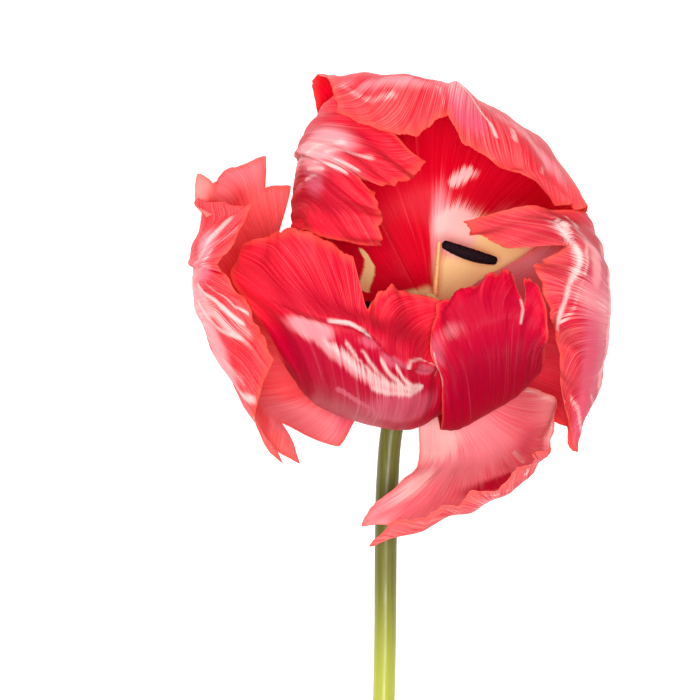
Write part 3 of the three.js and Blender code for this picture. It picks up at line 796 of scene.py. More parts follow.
# Each stroke: what it is, its line of places across and along, half width in mm, strength.
STROKES = {
    ("petal_back", "outside"): [
        ("gleam", [(-0.04, 0.84), (-0.13, 0.84), (-0.26, 0.86), (-0.33, 0.9)], 0.4, 1.0),
        ("feather", [(-0.36, 0.8), (-0.4, 0.85)], 0.6, 0.7),
        ("feather", [(0.1, 0.86), (0.03, 0.93)], 0.6, 0.6),
        ("feather", [(0.88, 0.86), (0.7, 0.91), (0.5, 0.9)], 1.2, 0.55),
        ("feather", [(-0.62, 0.8), (-0.66, 0.86)], 0.8, 0.5),
    ],
    ("petal_back", "inside"): [
        ("feather", [(-0.1, 0.35), (-0.18, 0.38)], 1.3, 1.1),
    ],
    ("petal_upper_left", "outside"): [
        ("feather", [(0.0, 0.75), (-0.26, 0.77), (-0.45, 0.79)], 1.6, 0.8),
        ("feather", [(-0.1, 0.81), (-0.3, 0.84), (-0.45, 0.88)], 1.4, 0.75),
        ("feather", [(-0.03, 0.85), (-0.1, 0.92)], 0.9, 0.7),
        ("shade", [(0.1, 0.71), (0.0, 0.8), (0.0, 0.9), (-0.03, 0.95)], 0.5, 0.9),
        ("feather", [(0.12, 0.76), (0.09, 0.84), (0.08, 0.9)], 0.9, 0.9),
        ("feather", [(0.22, 0.73), (0.2, 0.8)], 0.9, 0.8),
        ("feather", [(0.36, 0.69), (0.3, 0.76)], 0.8, 0.7),
    ],
    ("petal_upper_left", "inside"): [
        ("cream", [(-0.34, 0.2), (-0.28, 0.178), (-0.1, 0.165), (0.1, 0.158), (0.5, 0.15)], 1.0, 1.3),
    ],
    ("petal_right", "outside"): [
        ("feather", [(0.7, 0.865), (0.49, 0.87), (0.3, 0.875), (0.14, 0.89)], 1.8, 0.75),
        ("gleam", [(0.7, 0.865), (0.49, 0.87), (0.3, 0.875), (0.14, 0.89)], 0.6, 1.0),
        ("gleam", [(0.14, 0.89), (-0.13, 0.925), (-0.38, 0.975)], 0.45, 0.9),
        ("feather", [(0.78, 0.84), (0.66, 0.855)], 0.9, 1.0),
        ("feather", [(0.84, 0.81), (0.7, 0.82)], 0.8, 0.9),
        ("feather", [(0.9, 0.75), (0.74, 0.78)], 0.8, 0.8),
        ("feather", [(0.6, 0.8), (0.39, 0.85), (0.2, 0.86)], 0.8, 0.8),
        ("feather", [(0.11, 0.86), (-0.16, 0.9), (-0.3, 0.95)], 0.6, 0.6),
        ("feather", [(-0.84, 0.72), (-0.8, 0.82), (-0.85, 0.9)], 0.9, 0.7),
        ("feather", [(-0.62, 0.66), (-0.6, 0.76)], 0.8, 0.6),
    ],
    ("petal_left", "outside"): [
        ("feather", [(-0.12, 0.84), (-0.36, 0.88), (-0.47, 0.93)], 1.2, 0.75),
        ("feather", [(-0.03, 0.87), (-0.23, 0.91), (-0.3, 0.97)], 1.0, 0.7),
        ("shade", [(0.03, 0.83), (0.08, 0.9), (0.1, 0.97)], 0.5, 1.0),
        ("gleam", [(0.18, 0.8), (0.33, 0.81), (0.46, 0.85), (0.6, 0.94)], 0.5, 1.1),
        ("gleam", [(0.2, 0.86), (0.36, 0.86), (0.48, 0.92), (0.52, 0.98)], 0.35, 0.8),
        ("gleam", [(0.32, 0.76), (0.46, 0.77), (0.56, 0.81), (0.68, 0.9)], 0.45, 0.9),
        ("feather", [(0.22, 0.79), (0.42, 0.8), (0.55, 0.85), (0.68, 0.93)], 2.2, 0.7),
        ("feather", [(0.6, 0.74), (0.7, 0.77), (0.82, 0.82)], 0.8, 0.6),
        ("gleam", [(0.8, 0.76), (0.86, 0.8), (0.96, 0.86)], 0.5, 0.9),
        ("gleam", [(0.84, 0.73), (0.92, 0.78), (1.0, 0.83)], 0.5, 0.9),
        ("gleam", [(0.88, 0.69), (0.96, 0.74), (1.05, 0.78)], 0.5, 0.9),
    ],
    ("petal_front_left", "outside"): [
        ("gleam", [(-0.3, 0.744), (-0.12, 0.74), (0.01, 0.724), (0.12, 0.71)], 0.5, 1.1),
        ("blush", [(-0.45, 0.685), (-0.15, 0.64), (0.1, 0.612), (0.35, 0.6)], 1.6, 0.7),
        ("feather", [(-0.35, 0.68), (-0.1, 0.64), (0.12, 0.615), (0.4, 0.602)], 1.15, 0.64),
        ("gleam", [(-0.4, 0.69), (-0.24, 0.657), (-0.06, 0.628), (0.12, 0.61)], 0.5, 0.5),
        ("gleam", [(-0.18, 0.684), (-0.08, 0.655), (0.08, 0.627), (0.3, 0.608)], 0.45, 0.7),
        ("gleam", [(-0.02, 0.672), (0.08, 0.645), (0.22, 0.62), (0.4, 0.606)], 0.45, 0.75),
        ("gleam", [(0.19, 0.662), (0.27, 0.635), (0.38, 0.614), (0.5, 0.603)], 0.5, 1.0),
        ("gleam", [(0.36, 0.652), (0.43, 0.626), (0.52, 0.61), (0.62, 0.604)], 0.5, 1.0),
        ("gleam", [(0.05, 0.602), (0.25, 0.595), (0.45, 0.594), (0.6, 0.6)], 0.6, 0.8),
        ("gleam", [(0.5, 0.665), (0.56, 0.685), (0.7, 0.693), (0.86, 0.672)], 0.4, 0.6),
        ("gleam", [(0.86, 0.672), (0.91, 0.645), (0.84, 0.612)], 0.4, 0.5),
        ("mauve", [(-0.3, 0.58), (0.0, 0.545), (0.2, 0.52)], 0.7, 0.9),
    ],
    ("petal_front_right", "outside"): [
        ("gleam", [(0.55, 0.7), (0.62, 0.77), (0.62, 0.83)], 0.6, 0.7),
        ("gleam", [(-0.96, 0.56), (-0.98, 0.63), (-0.94, 0.7)], 0.35, 0.8),
    ],
    ("petal_fallen", "outside"): [
        ("feather", [(0.5, 0.9), (0.62, 0.93)], 1.0, 0.9),
        ("feather", [(0.1, 0.93), (0.25, 0.92)], 0.8, 0.7),
        ("feather", [(-0.5, 0.94), (-0.2, 0.93)], 0.6, 0.6),
    ],
    ("petal_fallen", "inside"): [
        ("feather", [(0.4, 0.5), (0.46, 0.6)], 0.9, 0.8),
        ("feather", [(0.6, 0.74), (0.64, 0.86)], 0.7, 0.8),
        ("feather", [(0.96, 0.36), (0.97, 0.6), (0.93, 0.76)], 0.7, 0.8),
    ],
}


def midrib(u, v, half_width):
    """A band up the midrib that fades at the foot and before the tip."""
    ends = smoothstep(v, 0.12, 0.35) * (1 - smoothstep(v, 0.84, 1))
    return np.exp(-((u / half_width) ** 2)) * ends


def painted(petal_name, label, side, u, v):
    """How strongly one kind of mark shows at each place of one face."""
    band = PETALS[petal_name].get("band", MIDRIB_BAND)
    grounds = {
        ("feather", "outside"): band * midrib(u, v, half_width=0.1),
        ("blush", "outside"): band * midrib(u, v, half_width=0.25),
        ("cream", "inside"): 1 - smoothstep(v, 0.01, 0.09),
    }
    amount = grounds.get((label, side), np.zeros(len(u)))
    for kind, across, along, width, length, strength in BLOTCHES.get((petal_name, side), []):
        if kind == label:
            oval = ((u - across) / width) ** 2 + ((v - along) / length) ** 2
            amount = np.maximum(amount, strength * np.exp(-oval))
    for kind, line, width, strength in STROKES.get((petal_name, side), []):
        if kind == label:
            amount = np.maximum(amount, strength * np.exp(-((beside(line, u, v) / width) ** 2)))
    return amount


print("blotches:", sum(map(len, BLOTCHES.values())), "strokes:", sum(map(len, STROKES.values())))

# %% [markdown]
# ## The finish of a petal
#
# Petal skin is a thin film of coloured sap under a satin surface. Light does two things there.
# Part of it bounces off and shows the colour and a soft sheen, and part of it goes through, so
# the petal glows where something bright is behind it. A Principled shader makes the first part
# and a Translucent shader the second, and the two are mixed. The veins are noise that is
# stretched along them: fast from vein to vein, slow along each. The same noise lightens the
# colour, frays the marks and raises the surface a little.

# %% Petal finish
LIGHT_THROUGH = 0.4
# Cells of noise from the midrib to the side, and along the petal.
LOW_VEINS = (230, 4)
TIP_VEINS = (820, 5)
PATCHES = (38, 2.5)
SHEEN_TINT = colour(255, 226, 230)
# Painted glow of light shining through the thin rim.
EDGE_GLOW = colour(250, 104, 80)
# The pale of the feathers, of the painted sheen and of the painted highlights.
FEATHER_AND_HIGHLIGHT = colour(255, 228, 222)
CREAM = colour(255, 250, 175)
# How far the veins fray each mark, and its colour between the veins and on them.
FRAYED_MARKS = {
    # Painted shade: deep crimson in the creases of the folds and over the lower bowl of the front
    # petals.
    "shade": (0.3, colour(182, 0, 50), colour(214, 4, 58)),
    # Mauve: the petal's own dusky hue, and painted shade beneath the folds.
    "mauve": (0.4, colour(208, 16, 72), colour(236, 128, 148)),
    # Blush: the petal's own soft pink, and in places painted sheen where the satin catches the light.
    "blush": (0.4, colour(246, 104, 122), colour(255, 200, 204)),
    "cream": (0.25, CREAM, CREAM),
}


def reading(tree, name):
    """A number that the mesh keeps at each point."""
    return node(tree, "ShaderNodeAttribute", gives="Fac", attribute_name=name)


def vein_noise(tree, cells, seed, detail):
    """Noise drawn out along the veins."""
    across = reading(tree, "vein") * cells[0]
    along = reading(tree, "along") * cells[1]
    return noise(place_at(across, along, float(seed)), scale=1.0, detail=detail)


def fine_veins(tree, seed):
    """Close veins low on the petal that go over into closer ones near its tip."""
    low = vein_noise(tree, LOW_VEINS, seed, detail=2.0)
    high = vein_noise(tree, TIP_VEINS, seed + 5, detail=2.0)
    share = eased(reading(tree, "along"), 0.55, 0.85)
    return node(tree, "ShaderNodeMix", {0: share, 2: low, 3: high}, data_type="FLOAT")


def frayed(mark, fine, broad, reach):
    """A mark whose outline runs out along the veins."""
    moved = mark + (broad - 0.5) * reach + (fine - 0.5) * (1.5 * reach)
    return eased(moved, 0.2, 0.7) * eased(mark, 0.02, 0.3)


def feather_and_sheen_share(mark, fine, broad):
    """Pale feathers, partly painted sheen, that only show along the finer veins where the mark is
    faint.
    """
    hairs = eased(fine, 0.4, 0.62) * 0.5
    return eased(mark + hairs + (broad - 0.5) * 0.5, 0.6, 1.2) * 0.92


def painted_highlight_share(mark, broad):
    """A smooth painted highlight along a fold, where the satin skin catches the light, stronger and
    weaker along it.
    """
    return eased(mark + (broad - 0.5), 0.1, 1.0) * 0.85


def petal_colour(tree, fine, broad, outer, inner):
    """The two faces with their marks, painted light and shade among them. A face has a deep, a bright
    and a vein colour.
    """
    margin = reading(tree, "margin")
    body = eased(broad * 0.5 + margin * 0.6, 0.2, 0.8)
    rimward = eased(reading(tree, "along"), 0.3, 0.85, 0.2, 0.55) + margin * 0.3
    hair = eased(fine, 0.46, 0.64) * rimward
    back, front = [tint(hair, tint(body, deep, bright), vein) for deep, bright, vein in (outer, inner)]
    skin = tint(reading(tree, "outside"), front, back)
    for label, (reach, between, on_veins) in FRAYED_MARKS.items():
        share = frayed(reading(tree, label), fine, broad, reach)
        skin = tint(share, skin, tint(fine, between, on_veins))
    # Pale feathers along the veins, and painted sheen where the satin skin catches the light.
    skin = tint(feather_and_sheen_share(reading(tree, "feather"), fine, broad), skin, FEATHER_AND_HIGHLIGHT)
    # Painted highlights: smooth pale lines where the folds catch the light.
    skin = tint(painted_highlight_share(reading(tree, "gleam"), broad), skin, FEATHER_AND_HIGHLIGHT)
    # A painted glow along the thin edge, where light shines through.
    return tint(reading(tree, "edge") * 0.5, skin, EDGE_GLOW)


def petal_finish(name, seed, outer, inner):
    """A satin skin that lets light through."""
    material, tree = new_material(name)
    fine = fine_veins(tree, seed)
    broad = vein_noise(tree, PATCHES, seed + 10, detail=1.0)
    skin = petal_colour(tree, fine, broad, outer, inner)
    bumps = raised(fine * 0.35 + broad * 0.65, strength=0.6, distance=0.00025)
    satin = coat(
        skin,
        eased(fine, 0.2, 0.8, 0.36, 0.5),
        Specular_IOR_Level=0.1,
        Sheen_Weight=0.025,
        Sheen_Roughness=0.35,
        Sheen_Tint=SHEEN_TINT,
        Normal=bumps,
    )
    glow = node(tree, "ShaderNodeBsdfTranslucent", {"Color": skin, "Normal": bumps})
    mixed = node(tree, "ShaderNodeMixShader", {"Fac": LIGHT_THROUGH, 1: satin, 2: glow})
    return close_material(material, mixed)


# %% Finishes of the seven petals
CORAL = (colour(222, 0, 50), colour(248, 50, 70), colour(255, 132, 124))
RED = (colour(214, 0, 40), colour(242, 0, 56), colour(250, 40, 72))
SCARLET = (colour(208, 0, 48), colour(230, 10, 54), colour(248, 86, 92))
ROSE = (colour(198, 0, 52), colour(218, 44, 70), colour(240, 124, 118))
CRIMSON = (colour(196, 0, 50), colour(216, 0, 54), colour(230, 34, 68))
CERISE = (colour(236, 50, 76), colour(250, 92, 106), colour(252, 136, 140))
PINK = (colour(248, 112, 128), colour(254, 164, 168), colour(255, 208, 204))
SALMON = (colour(248, 92, 100), colour(255, 140, 138), colour(255, 186, 178))
DUSTY = (colour(212, 20, 54), colour(232, 84, 92), colour(250, 164, 156))
# The outer and the inner face of each petal.
FACES = {
    "petal_back": (CORAL, RED),
    "petal_upper_left": (SCARLET, RED),
    "petal_right": (ROSE, CERISE),
    "petal_left": (CORAL, SALMON),
    "petal_front_left": (SCARLET, RED),
    "petal_front_right": (CRIMSON, RED),
    "petal_fallen": (DUSTY, PINK),
}
FINISHES = {
    name: petal_finish(name + "_finish", PETALS[name]["seed"], outer, inner)
    for name, (outer, inner) in FACES.items()
}
print(len(FINISHES), "petal finishes")

# %% [markdown]
# ## Veins that stand up
#
# The larger veins can be felt with a fingertip. They follow a rule, one ridge after another
# across the petal, so Geometry Nodes raise them: every point moves along its normal by a wave of
# its vein reading. Both faces move the same way, because a vein bends the thin blade instead of
# thickening it. The ridges start where the blade has widened enough to hold them.

# %% Tree that raises the veins
def vein_relief():
    """Bends a petal into low ridges along its veins."""
    sizes = {"Ridges": FLOAT, "Height": FLOAT, "Wander": FLOAT, "Seed": FLOAT}
    tree, given = new_tree("vein_relief", sizes)
    along, vein, outside = [
        node(tree, "GeometryNodeInputNamedAttribute", {"Name": label}, data_type="FLOAT")
        for label in ("along", "vein", "outside")
    ]
    spot = place_at(vein, along, given["Seed"])
    wander = noise(spot, scale=7.0, detail=1.0) * given["Wander"]
    ridge = maths("SINE", (vein * given["Ridges"] + wander) * (2 * math.pi))
    starts = eased(along, 0.32, 0.6)
    side = outside * 2.0 - 1.0
    lift = ridge * given["Height"] * starts * side
    normal = node(tree, "GeometryNodeInputNormal")
    offset = node(tree, "ShaderNodeVectorMath", {0: normal, "Scale": lift}, operation="SCALE")
    inputs = {"Geometry": given["Geometry"], "Offset": offset}
    return close_tree(node(tree, "GeometryNodeSetPosition", inputs), given["Material"])


# %% Make the petals
VEIN_RELIEF = vein_relief()
VEIN_SIZES = {"Ridges": 26.0, "Height": 0.00004, "Wander": 3.0}

for petal_name, petal in PETALS.items():
    blade = new_object(petal_name + "_blade", petal_mesh(petal_name, petal))
    sizes = {**VEIN_SIZES, "Seed": float(petal["seed"]), "Material": FINISHES[petal_name]}
    piece = as_mesh(petal_name + "_fine", blade, VEIN_RELIEF, sizes)
    takes_place_of(piece, petal_name)

# %% [markdown]
# ## Stem and threads
#
# The stem is a round green stalk that follows one line, and so is the thread of each stamen.
# Geometry Nodes sweep a circle along the line. The same tree makes both, because both change
# their thickness once: the stem widens into the receptacle, and a thread thins towards its
# anther. The two places where that change starts and ends are measured back from the top.

# %% Tree that sweeps a stalk
def stalk_tree():
    """A round stalk along a line, whose radius changes once."""
    sizes = {"Foot Radius": FLOAT, "Top Radius": FLOAT, "Change From": FLOAT, "Change To": FLOAT}
    tree, given = new_tree("stalk", {**sizes, "Rings": COUNT, "Sides": COUNT})
    drawn = {"Curve": given["Geometry"]}
    smooth = node(tree, "GeometryNodeCurveSplineType", drawn, spline_type="CATMULL_ROM")
    line = node(tree, "GeometryNodeResampleCurve", {"Curve": smooth, "Count": given["Rings"]})
    whole = node(tree, "GeometryNodeSplineLength", gives="Length")
    from_top = whole - node(tree, "GeometryNodeSplineParameter", gives="Length")
    radii = (given["Top Radius"], given["Foot Radius"])
    radius = eased(from_top, given["Change To"], given["Change From"], *radii)
    circle = {"Resolution": given["Sides"], "Radius": 1.0}
    ring = node(tree, "GeometryNodeCurvePrimitiveCircle", circle)
    sweep = {"Curve": line, "Profile Curve": ring, "Scale": radius, "Fill Caps": True}
    return close_tree(node(tree, "GeometryNodeCurveToMesh", sweep), given["Material"])


STALK = stalk_tree()


def line_object(name, points):
    """A line through points of the drawing."""
    curve = bpy.data.curves.new(name, "CURVE")
    curve.dimensions = "3D"
    spline = curve.splines.new("POLY")
    spline.points.add(len(points) - 1)
    for point, place in zip(spline.points, in_frame(points)):
        point.co = (*place, 1)
    return new_object(name, curve)


# %% [markdown]
# ## The stem's finish
#
# A tulip's stem is waxy and smooth, with faint lines along it. It is olive where it nears the
# bloom and a fresher, yellower green further down. The stem lies along Y, so noise on object
# coordinates that is squeezed along Y gives the lines, and the place along Y gives the change of
# green. The bright ends of the cut fibres show only on the cut.

# %% Stem finish
# Where the green changes and where the cut ends, in metres along Y.
OLIVE_FROM, OLIVE_TO = -0.022, 0.014
CUT_FROM, CUT_TO = -0.1285, -0.1275


def stem_finish():
    """Waxy green with lines along the stem."""
    material, tree = new_material("stem_finish")
    place = on_object(tree)
    along = along_axis(place, "Y")
    squeezed = node(tree, "ShaderNodeMapping", {"Vector": place, "Scale": (1, 0.03, 1)})
    lines = noise(squeezed, scale=1400.0, detail=2.0)
    cloud = noise(place, scale=90.0, detail=3.0)
    green = tint(eased(along, OLIVE_FROM, OLIVE_TO), colour(154, 158, 56), colour(84, 84, 26))
    green = tint(eased(lines, 0.35, 0.7) * 0.1, green, colour(176, 180, 84))
    green = tint(eased(cloud, 0.45, 0.75) * 0.25, green, colour(110, 104, 48))
    green = tint(eased(along, CUT_FROM, CUT_TO, 0.8, 0.0), green, colour(206, 214, 150))
    return close_material(material, coat(
        green,
        eased(cloud, 0.3, 0.7, 0.36, 0.5),
        Subsurface_Weight=0.15,
        Subsurface_Radius=(0.002, 0.0025, 0.0008),
        Specular_IOR_Level=0.25,
        Sheen_Weight=0.04,
        Normal=raised(lines, strength=0.3, distance=0.0002),
    ))


# %% Make the stem
STEM_RADIUS = 2.7
RECEPTACLE_RADIUS = 5.4
RECEPTACLE_TOP = 1.6
FLARE_FROM = 8.2
FLARE_TO = 4.1
CUT_SLANT = 0.6
CUT_RIM = 0.3
# Points of the stem's middle. The last two lie on the axis of the bloom.
STEM_LINE = [
    [-2, -192, STEM_RADIUS],
    [-4.5, -150, STEM_RADIUS],
    [-5, -110, STEM_RADIUS],
    [-4.2, -75, STEM_RADIUS],
    [-4, -50, STEM_RADIUS],
    [-3.6, -33, STEM_RADIUS + 0.1],
    [-2.4, -20, STEM_RADIUS + 0.9],
    [0.6, -10, STEM_RADIUS + 2.2],
    [3.6, -2.4, STEM_RADIUS + 4.3],
    on_bloom(0, 0, -3),
    on_bloom(0, 0, RECEPTACLE_TOP),
]
stem = as_mesh("stem_fine", line_object("stem_line", STEM_LINE), STALK, {
    "Foot Radius": STEM_RADIUS / 1000,
    "Top Radius": RECEPTACLE_RADIUS / 1000,
    "Change From": FLARE_FROM / 1000,
    "Change To": FLARE_TO / 1000,
    "Rings": 320,
    "Sides": 48,
    "Material": stem_finish(),
})

# The knife went through at a slant, and the stem presses a narrow flat where it lies.
cut = min(vertex.co.y for vertex in stem.data.vertices)
for vertex in stem.data.vertices:
    if vertex.co.y < cut + CUT_RIM / 1000:
        vertex.co.y -= CUT_SLANT * (STEM_RADIUS / 1000 - vertex.co.z)
    vertex.co.z = max(vertex.co.z, 0)
takes_place_of(stem, "stem")

# %% [markdown]
# ## Pistil and anthers
#
# The pistil is a three-sided green rod with a lobed, pale stigma on top. An anther is a long
# dark capsule with a groove down each side. Both are rods whose radius changes along and around
# them, so one function makes them ring by ring and closes both ends in a point.

# %% Rods with lobes
def rod_mesh(name, middles, radius_at, sides):
    """A closed rod through a row of middles. radius_at takes the share of its length and a turn."""
    steps = len(middles)
    ahead = np.gradient(middles, axis=0)
    ahead /= np.linalg.norm(ahead, axis=1, keepdims=True)
    # The turn is measured from any direction that the rod does not run along.
    lean = np.array([0, 0, 1]) if abs(ahead[0][2]) < 0.8 else np.array([1, 0, 0])
    side = lean - (ahead @ lean)[:, None] * ahead
    side /= np.linalg.norm(side, axis=1, keepdims=True)
    up = np.cross(ahead, side)
    turn = np.arange(sides) * 2 * math.pi / sides
    share = np.linspace(0, 1, steps)[:, None]
    around = np.cos(turn)[:, None] * side[:, None, :] + np.sin(turn)[:, None] * up[:, None, :]
    rings = middles[:, None, :] + radius_at(share, turn)[:, :, None] * around
    points = np.concatenate([rings.reshape(-1, 3), middles[:1], middles[-1:]])
    last_ring = (steps - 1) * sides
    foot, top = steps * sides, steps * sides + 1
    faces = []
    for s in range(sides):
        after = (s + 1) % sides
        faces.append((foot, after, s))
        faces.append((top, last_ring + s, last_ring + after))
        for k in range(0, last_ring, sides):
            faces.append((k + s, k + after, k + sides + after, k + sides + s))
    mesh = bpy.data.meshes.new(name)
    mesh.from_pydata(in_frame(points).tolist(), [], faces)
    return mesh


def rounded(share, end):
    """1 along a rod, falling to almost nothing over its last part at both ends."""
    near = np.clip(np.minimum(share, 1 - share) / end, 0, 1)
    return np.sqrt(np.clip(1 - (1 - near) ** 2, 0.0004, 1))


# %% Pistil
SEAT_GAP = 0.3
SEAT = RECEPTACLE_TOP + SEAT_GAP
PISTIL_LENGTH = 10.5
PISTIL_RINGS, PISTIL_SIDES = 80, 72
OVARY_RADIUS = 2.2
STIGMA_RADIUS = 3.4
# Where the stigma's colour begins, in metres above the table.
STIGMA_FROM, STIGMA_TO = 0.0205, 0.0225


def pistil_finish():
    """Green ovary, and a pale velvety stigma."""
    material, tree = new_material("pistil_finish")
    place = on_object(tree)
    grain = noise(place, scale=1600.0, detail=3.0)
    skin = tint(eased(grain, 0.3, 0.7), colour(96, 124, 52), colour(150, 168, 84))
    skin = tint(eased(along_axis(place, "Z"), STIGMA_FROM, STIGMA_TO), skin, colour(226, 218, 140))
    roughness = eased(grain, 0.3, 0.7, 0.42, 0.6)
    bumps = raised(grain, strength=0.5, distance=0.0002)
    return close_material(material, coat(skin, roughness, Sheen_Weight=0.3, Normal=bumps))


def pistil_radius(share, turn):
    """Three-sided all the way up, with three wide lobes at the top."""
    three = np.cos(3 * turn)
    crown = smoothstep(share, 0.78, 0.92) * (1 - 0.55 * smoothstep(share, 0.92, 1))
    ovary = OVARY_RADIUS * (0.8 + 0.2 * np.sin(math.pi * share)) * (1 + 0.08 * three)
    lobes = crown * (0.75 + 0.35 * three + 0.06 * np.cos(24 * turn))
    return (ovary + (STIGMA_RADIUS - OVARY_RADIUS) * lobes) * rounded(share, 0.03)


rises = SEAT + PISTIL_LENGTH * np.linspace(0, 1, PISTIL_RINGS)
pistil_line = np.array([on_bloom(0, 0, rise) for rise in rises])
pistil_mesh = rod_mesh("pistil_fine", pistil_line, pistil_radius, PISTIL_SIDES)
pistil = new_object("pistil_fine", pistil_mesh)
pistil.data.materials.append(pistil_finish())
takes_place_of(pistil, "pistil")

# %% [markdown]
# ## Stamens
#
# Six stamens stand round the pistil. Each is a pale thread that carries a dark anther by its
# end, and ripe anthers are covered in pollen. Pollen is hundreds of loose grains scattered over
# the anther's skin, which is work for Geometry Nodes: spread points over the surface, set a tiny
# ball of twenty faces on each, and vary their sizes with a fixed seed.

# %% Pollen tree
SMALLEST_GRAIN, LARGEST_GRAIN = 0.5, 1.2


def pollen_tree():
    """Grains of uneven size, scattered over a surface."""
    tree, given = new_tree("pollen", {"Grain Radius": FLOAT, "Density": FLOAT, "Seed": COUNT})
    spread = {"Mesh": given["Geometry"], "Density": given["Density"], "Seed": given["Seed"]}
    spots = node(tree, "GeometryNodeDistributePointsOnFaces", spread, "Points")
    ball = {"Radius": given["Grain Radius"], "Subdivisions": 1}
    grain = node(tree, "GeometryNodeMeshIcoSphere", ball)
    uneven = {2: SMALLEST_GRAIN, 3: LARGEST_GRAIN, "Seed": given["Seed"]}
    size = node(tree, "FunctionNodeRandomValue", uneven, 1, data_type="FLOAT")
    placed = {"Points": spots, "Instance": grain, "Scale": size}
    grains = node(tree, "GeometryNodeInstanceOnPoints", placed)
    both = node(tree, "GeometryNodeJoinGeometry", {"Geometry": [given["Geometry"], grains]})
    return close_tree(both, given["Material"])


def pollen_finish():
    """Black-violet powder with a few paler grains."""
    material, tree = new_material("pollen_finish")
    dust = noise(on_object(tree), scale=3000.0, detail=3.0)
    skin = tint(eased(dust, 0.4, 0.75), colour(8, 3, 7), colour(46, 18, 32))
    roughness = eased(dust, 0.3, 0.7, 0.75, 0.95)
    bumps = raised(dust, strength=0.6, distance=0.0001)
    return close_material(material, coat(skin, roughness, Specular_IOR_Level=0.15, Normal=bumps))


# %% Thread finish
# Where a thread darkens, in metres above the table.
DARK_FROM, DARK_TO = 0.02, 0.026


def thread_finish():
    """A pale thread that darkens where it meets the anther."""
    material, tree = new_material("thread_finish")
    place = on_object(tree)
    grain = noise(place, scale=1500.0, detail=2.0)
    skin = tint(eased(grain, 0.3, 0.7), colour(224, 146, 84), colour(240, 176, 112))
    dark = eased(along_axis(place, "Z"), DARK_FROM, DARK_TO)
    skin = tint(dark, skin, colour(96, 60, 62))
    roughness = eased(grain, 0.3, 0.7, 0.4, 0.55)
    return close_material(material, coat(skin, roughness, Subsurface_Weight=0.1))


# %% Make the stamens
STAMEN_RING_RADIUS = 4.2
STAMEN_TURN = 75
THREAD_FOOT_RADIUS = 0.8
THREAD_TOP_RADIUS = 0.5
KNEE_RISE = 4
ANTHER_LENGTH = 14
ANTHER_RADIUS = 1.9
POLLEN_DEPTH = 0.15
ANTHER_BOW = 1.2
ANTHER_RINGS, ANTHER_SIDES = 60, 40
GRAIN_RADIUS = 0.11
GRAINS_PER_SQUARE_MM = 5.0

# Where each thread ends (angle round the axis, radius from it, rise along it), and how far its
# anther points outward, across and upward from there. One stamen has dropped open to the back.
STAMEN_TOPS = [
    (85, 16.5, 12, -0.25, -0.96, 0.1),
    (188, 12, 11, 0.8, 0.2, 0.5),
    (212, 8.5, 13, 0.25, 0.1, 0.95),
    (245, 8, 13, 0.3, 0.2, 0.9),
    (300, 8, 12, 0.35, -0.1, 0.9),
    (340, 10, 11, 0.5, 0.1, 0.8),
]
POLLEN = pollen_tree()
POLLEN_FINISH = pollen_finish()
THREAD_FINISH = thread_finish()


def add_thread(number, foot_angle, top):
    """A thread that stands straight up to its knee, and leans from there to its top."""
    foot = on_bloom(foot_angle, STAMEN_RING_RADIUS, SEAT)
    knee = on_bloom(foot_angle, STAMEN_RING_RADIUS, SEAT + KNEE_RISE)
    line = line_object("thread_line", [foot, knee, top])
    thread = as_mesh(f"filament_{number}_fine", line, STALK, {
        "Foot Radius": THREAD_FOOT_RADIUS / 1000,
        "Top Radius": THREAD_TOP_RADIUS / 1000,
        "Change From": (np.linalg.norm(top - knee) + KNEE_RISE) / 1000,
        "Change To": 0.0,
        "Rings": 40,
        "Sides": 16,
        "Material": THREAD_FINISH,
    })
    takes_place_of(thread, f"filament_{number}")


def anther_radius(share, turn):
    """Fullest in the middle, with a groove down each side."""
    body = 0.35 + 0.65 * np.sin(math.pi * (0.1 + 0.8 * share)) ** 0.7
    grooves = 1 + 0.14 * np.cos(2 * turn) - 0.05 * np.exp(-((np.cos(turn) / 0.2) ** 2))
    return (ANTHER_RADIUS - POLLEN_DEPTH) * body * grooves * rounded(share, 0.05)


def add_anther(number, angle, top, outward, across, upward):
    """A capsule under pollen that goes on from the top of its thread in a shallow bow."""
    out_way = on_bloom(angle, 1, 0) - RECEPTACLE
    across_way = on_bloom(angle + 90, 1, 0) - RECEPTACLE
    ahead = outward * out_way + across * across_way + upward * AXIS
    ahead /= np.linalg.norm(ahead)
    bow = ANTHER_BOW * np.cross(out_way, ahead)
    start = top + (THREAD_TOP_RADIUS + SEAT_GAP) * ahead
    share = np.linspace(0, 1, ANTHER_RINGS)[:, None]
    middles = start + ANTHER_LENGTH * share * ahead + np.sin(math.pi * share) * bow
    capsule = new_object("capsule", rod_mesh("capsule", middles, anther_radius, ANTHER_SIDES))
    anther = as_mesh(f"anther_{number}_fine", capsule, POLLEN, {
        "Grain Radius": GRAIN_RADIUS / 1000,
        "Density": GRAINS_PER_SQUARE_MM * 1e6,
        "Seed": number,
        "Material": POLLEN_FINISH,
    })
    takes_place_of(anther, f"anther_{number}")


for number, (angle, radius, rise, *lean) in enumerate(STAMEN_TOPS, 1):
    top = on_bloom(angle, radius, rise)
    add_thread(number, STAMEN_TURN + 60 * (number - 1), top)
    add_anther(number, angle, top, *lean)

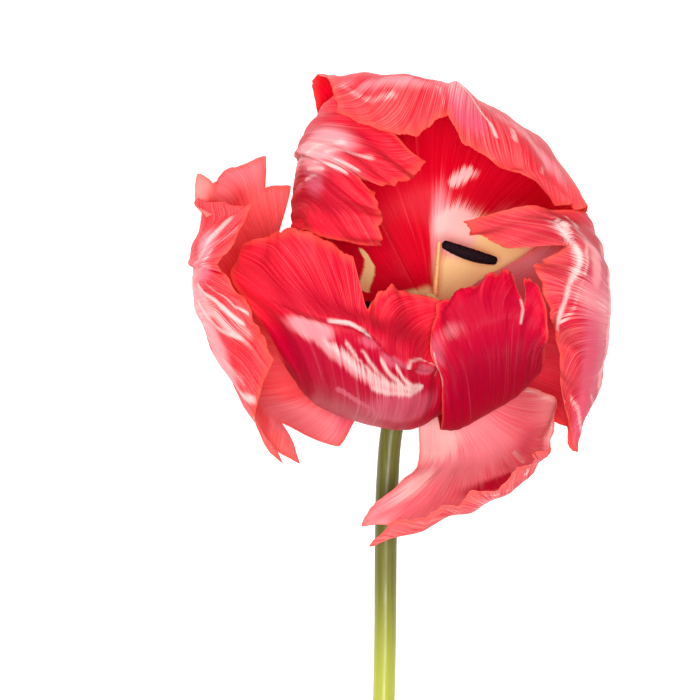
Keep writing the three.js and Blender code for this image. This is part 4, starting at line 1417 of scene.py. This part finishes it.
# %% [markdown]
# ## Floor and light
#
# The floor is a plain pale table that runs out of the picture. The light is as in a bright
# studio: a white surround fills every shadow, a strong soft box hangs high over the bloom, and a
# weak one at the upper left models the petals. The table gives off a little light of its own,
# like a light box, so petals that lie on it glow through.

# %% Floor
FLOOR_HALF = 3.0
FLOOR_LEVEL = -0.0001
FLOOR_GLOW = 0.5
FLOOR_TONES = ((0.86, 0.86, 0.86, 1), (0.9, 0.9, 0.9, 1))
WHITE = (1, 1, 1, 1)


def floor_finish():
    """Matt white with a faint mottle, and a little light of its own."""
    material, tree = new_material("floor_finish")
    mottle = noise(on_object(tree), scale=6.0, detail=2.0)
    skin = tint(mottle, *FLOOR_TONES)
    matt = coat(skin, roughness=0.9, Emission_Color=WHITE, Emission_Strength=FLOOR_GLOW)
    return close_material(material, matt)


floor_mesh = bpy.data.meshes.new("floor")
signs = ((-1, -1), (1, -1), (1, 1), (-1, 1))
corners = [(x * FLOOR_HALF, y * FLOOR_HALF, FLOOR_LEVEL) for x, y in signs]
floor_mesh.from_pydata(corners, [], [(0, 1, 2, 3)])
floor = new_object("floor", floor_mesh)
floor.data.materials.append(floor_finish())

# %% Light
SURROUND_STRENGTH = 0.33
BLOOM_PLACE = in_frame([0, 10, 30])


def soft_box(name, place, side, watts):
    """A square lamp at a place, turned towards the bloom."""
    lamp = bpy.data.lights.new(name, "AREA")
    lamp.size = side
    lamp.energy = watts
    made = new_object(name, lamp)
    made.location = place
    direction = Vector(BLOOM_PLACE) - made.location
    made.rotation_euler = direction.to_track_quat("-Z", "Y").to_euler()


surround = bpy.data.worlds.new("surround")
bpy.context.scene.world = surround
surround.use_nodes = True
background = surround.node_tree.nodes["Background"].inputs
background["Color"].default_value = WHITE
background["Strength"].default_value = SURROUND_STRENGTH
soft_box("key_box", place=(-0.7, 0.9, 1.0), side=0.6, watts=10)
soft_box("top_box", place=(0.05, -0.12, 3.2), side=0.8, watts=135)

settings = bpy.context.scene.view_settings
settings.view_transform = "Standard"
settings.look = "None"
print("lamps:", [lamp.name for lamp in bpy.data.lights])
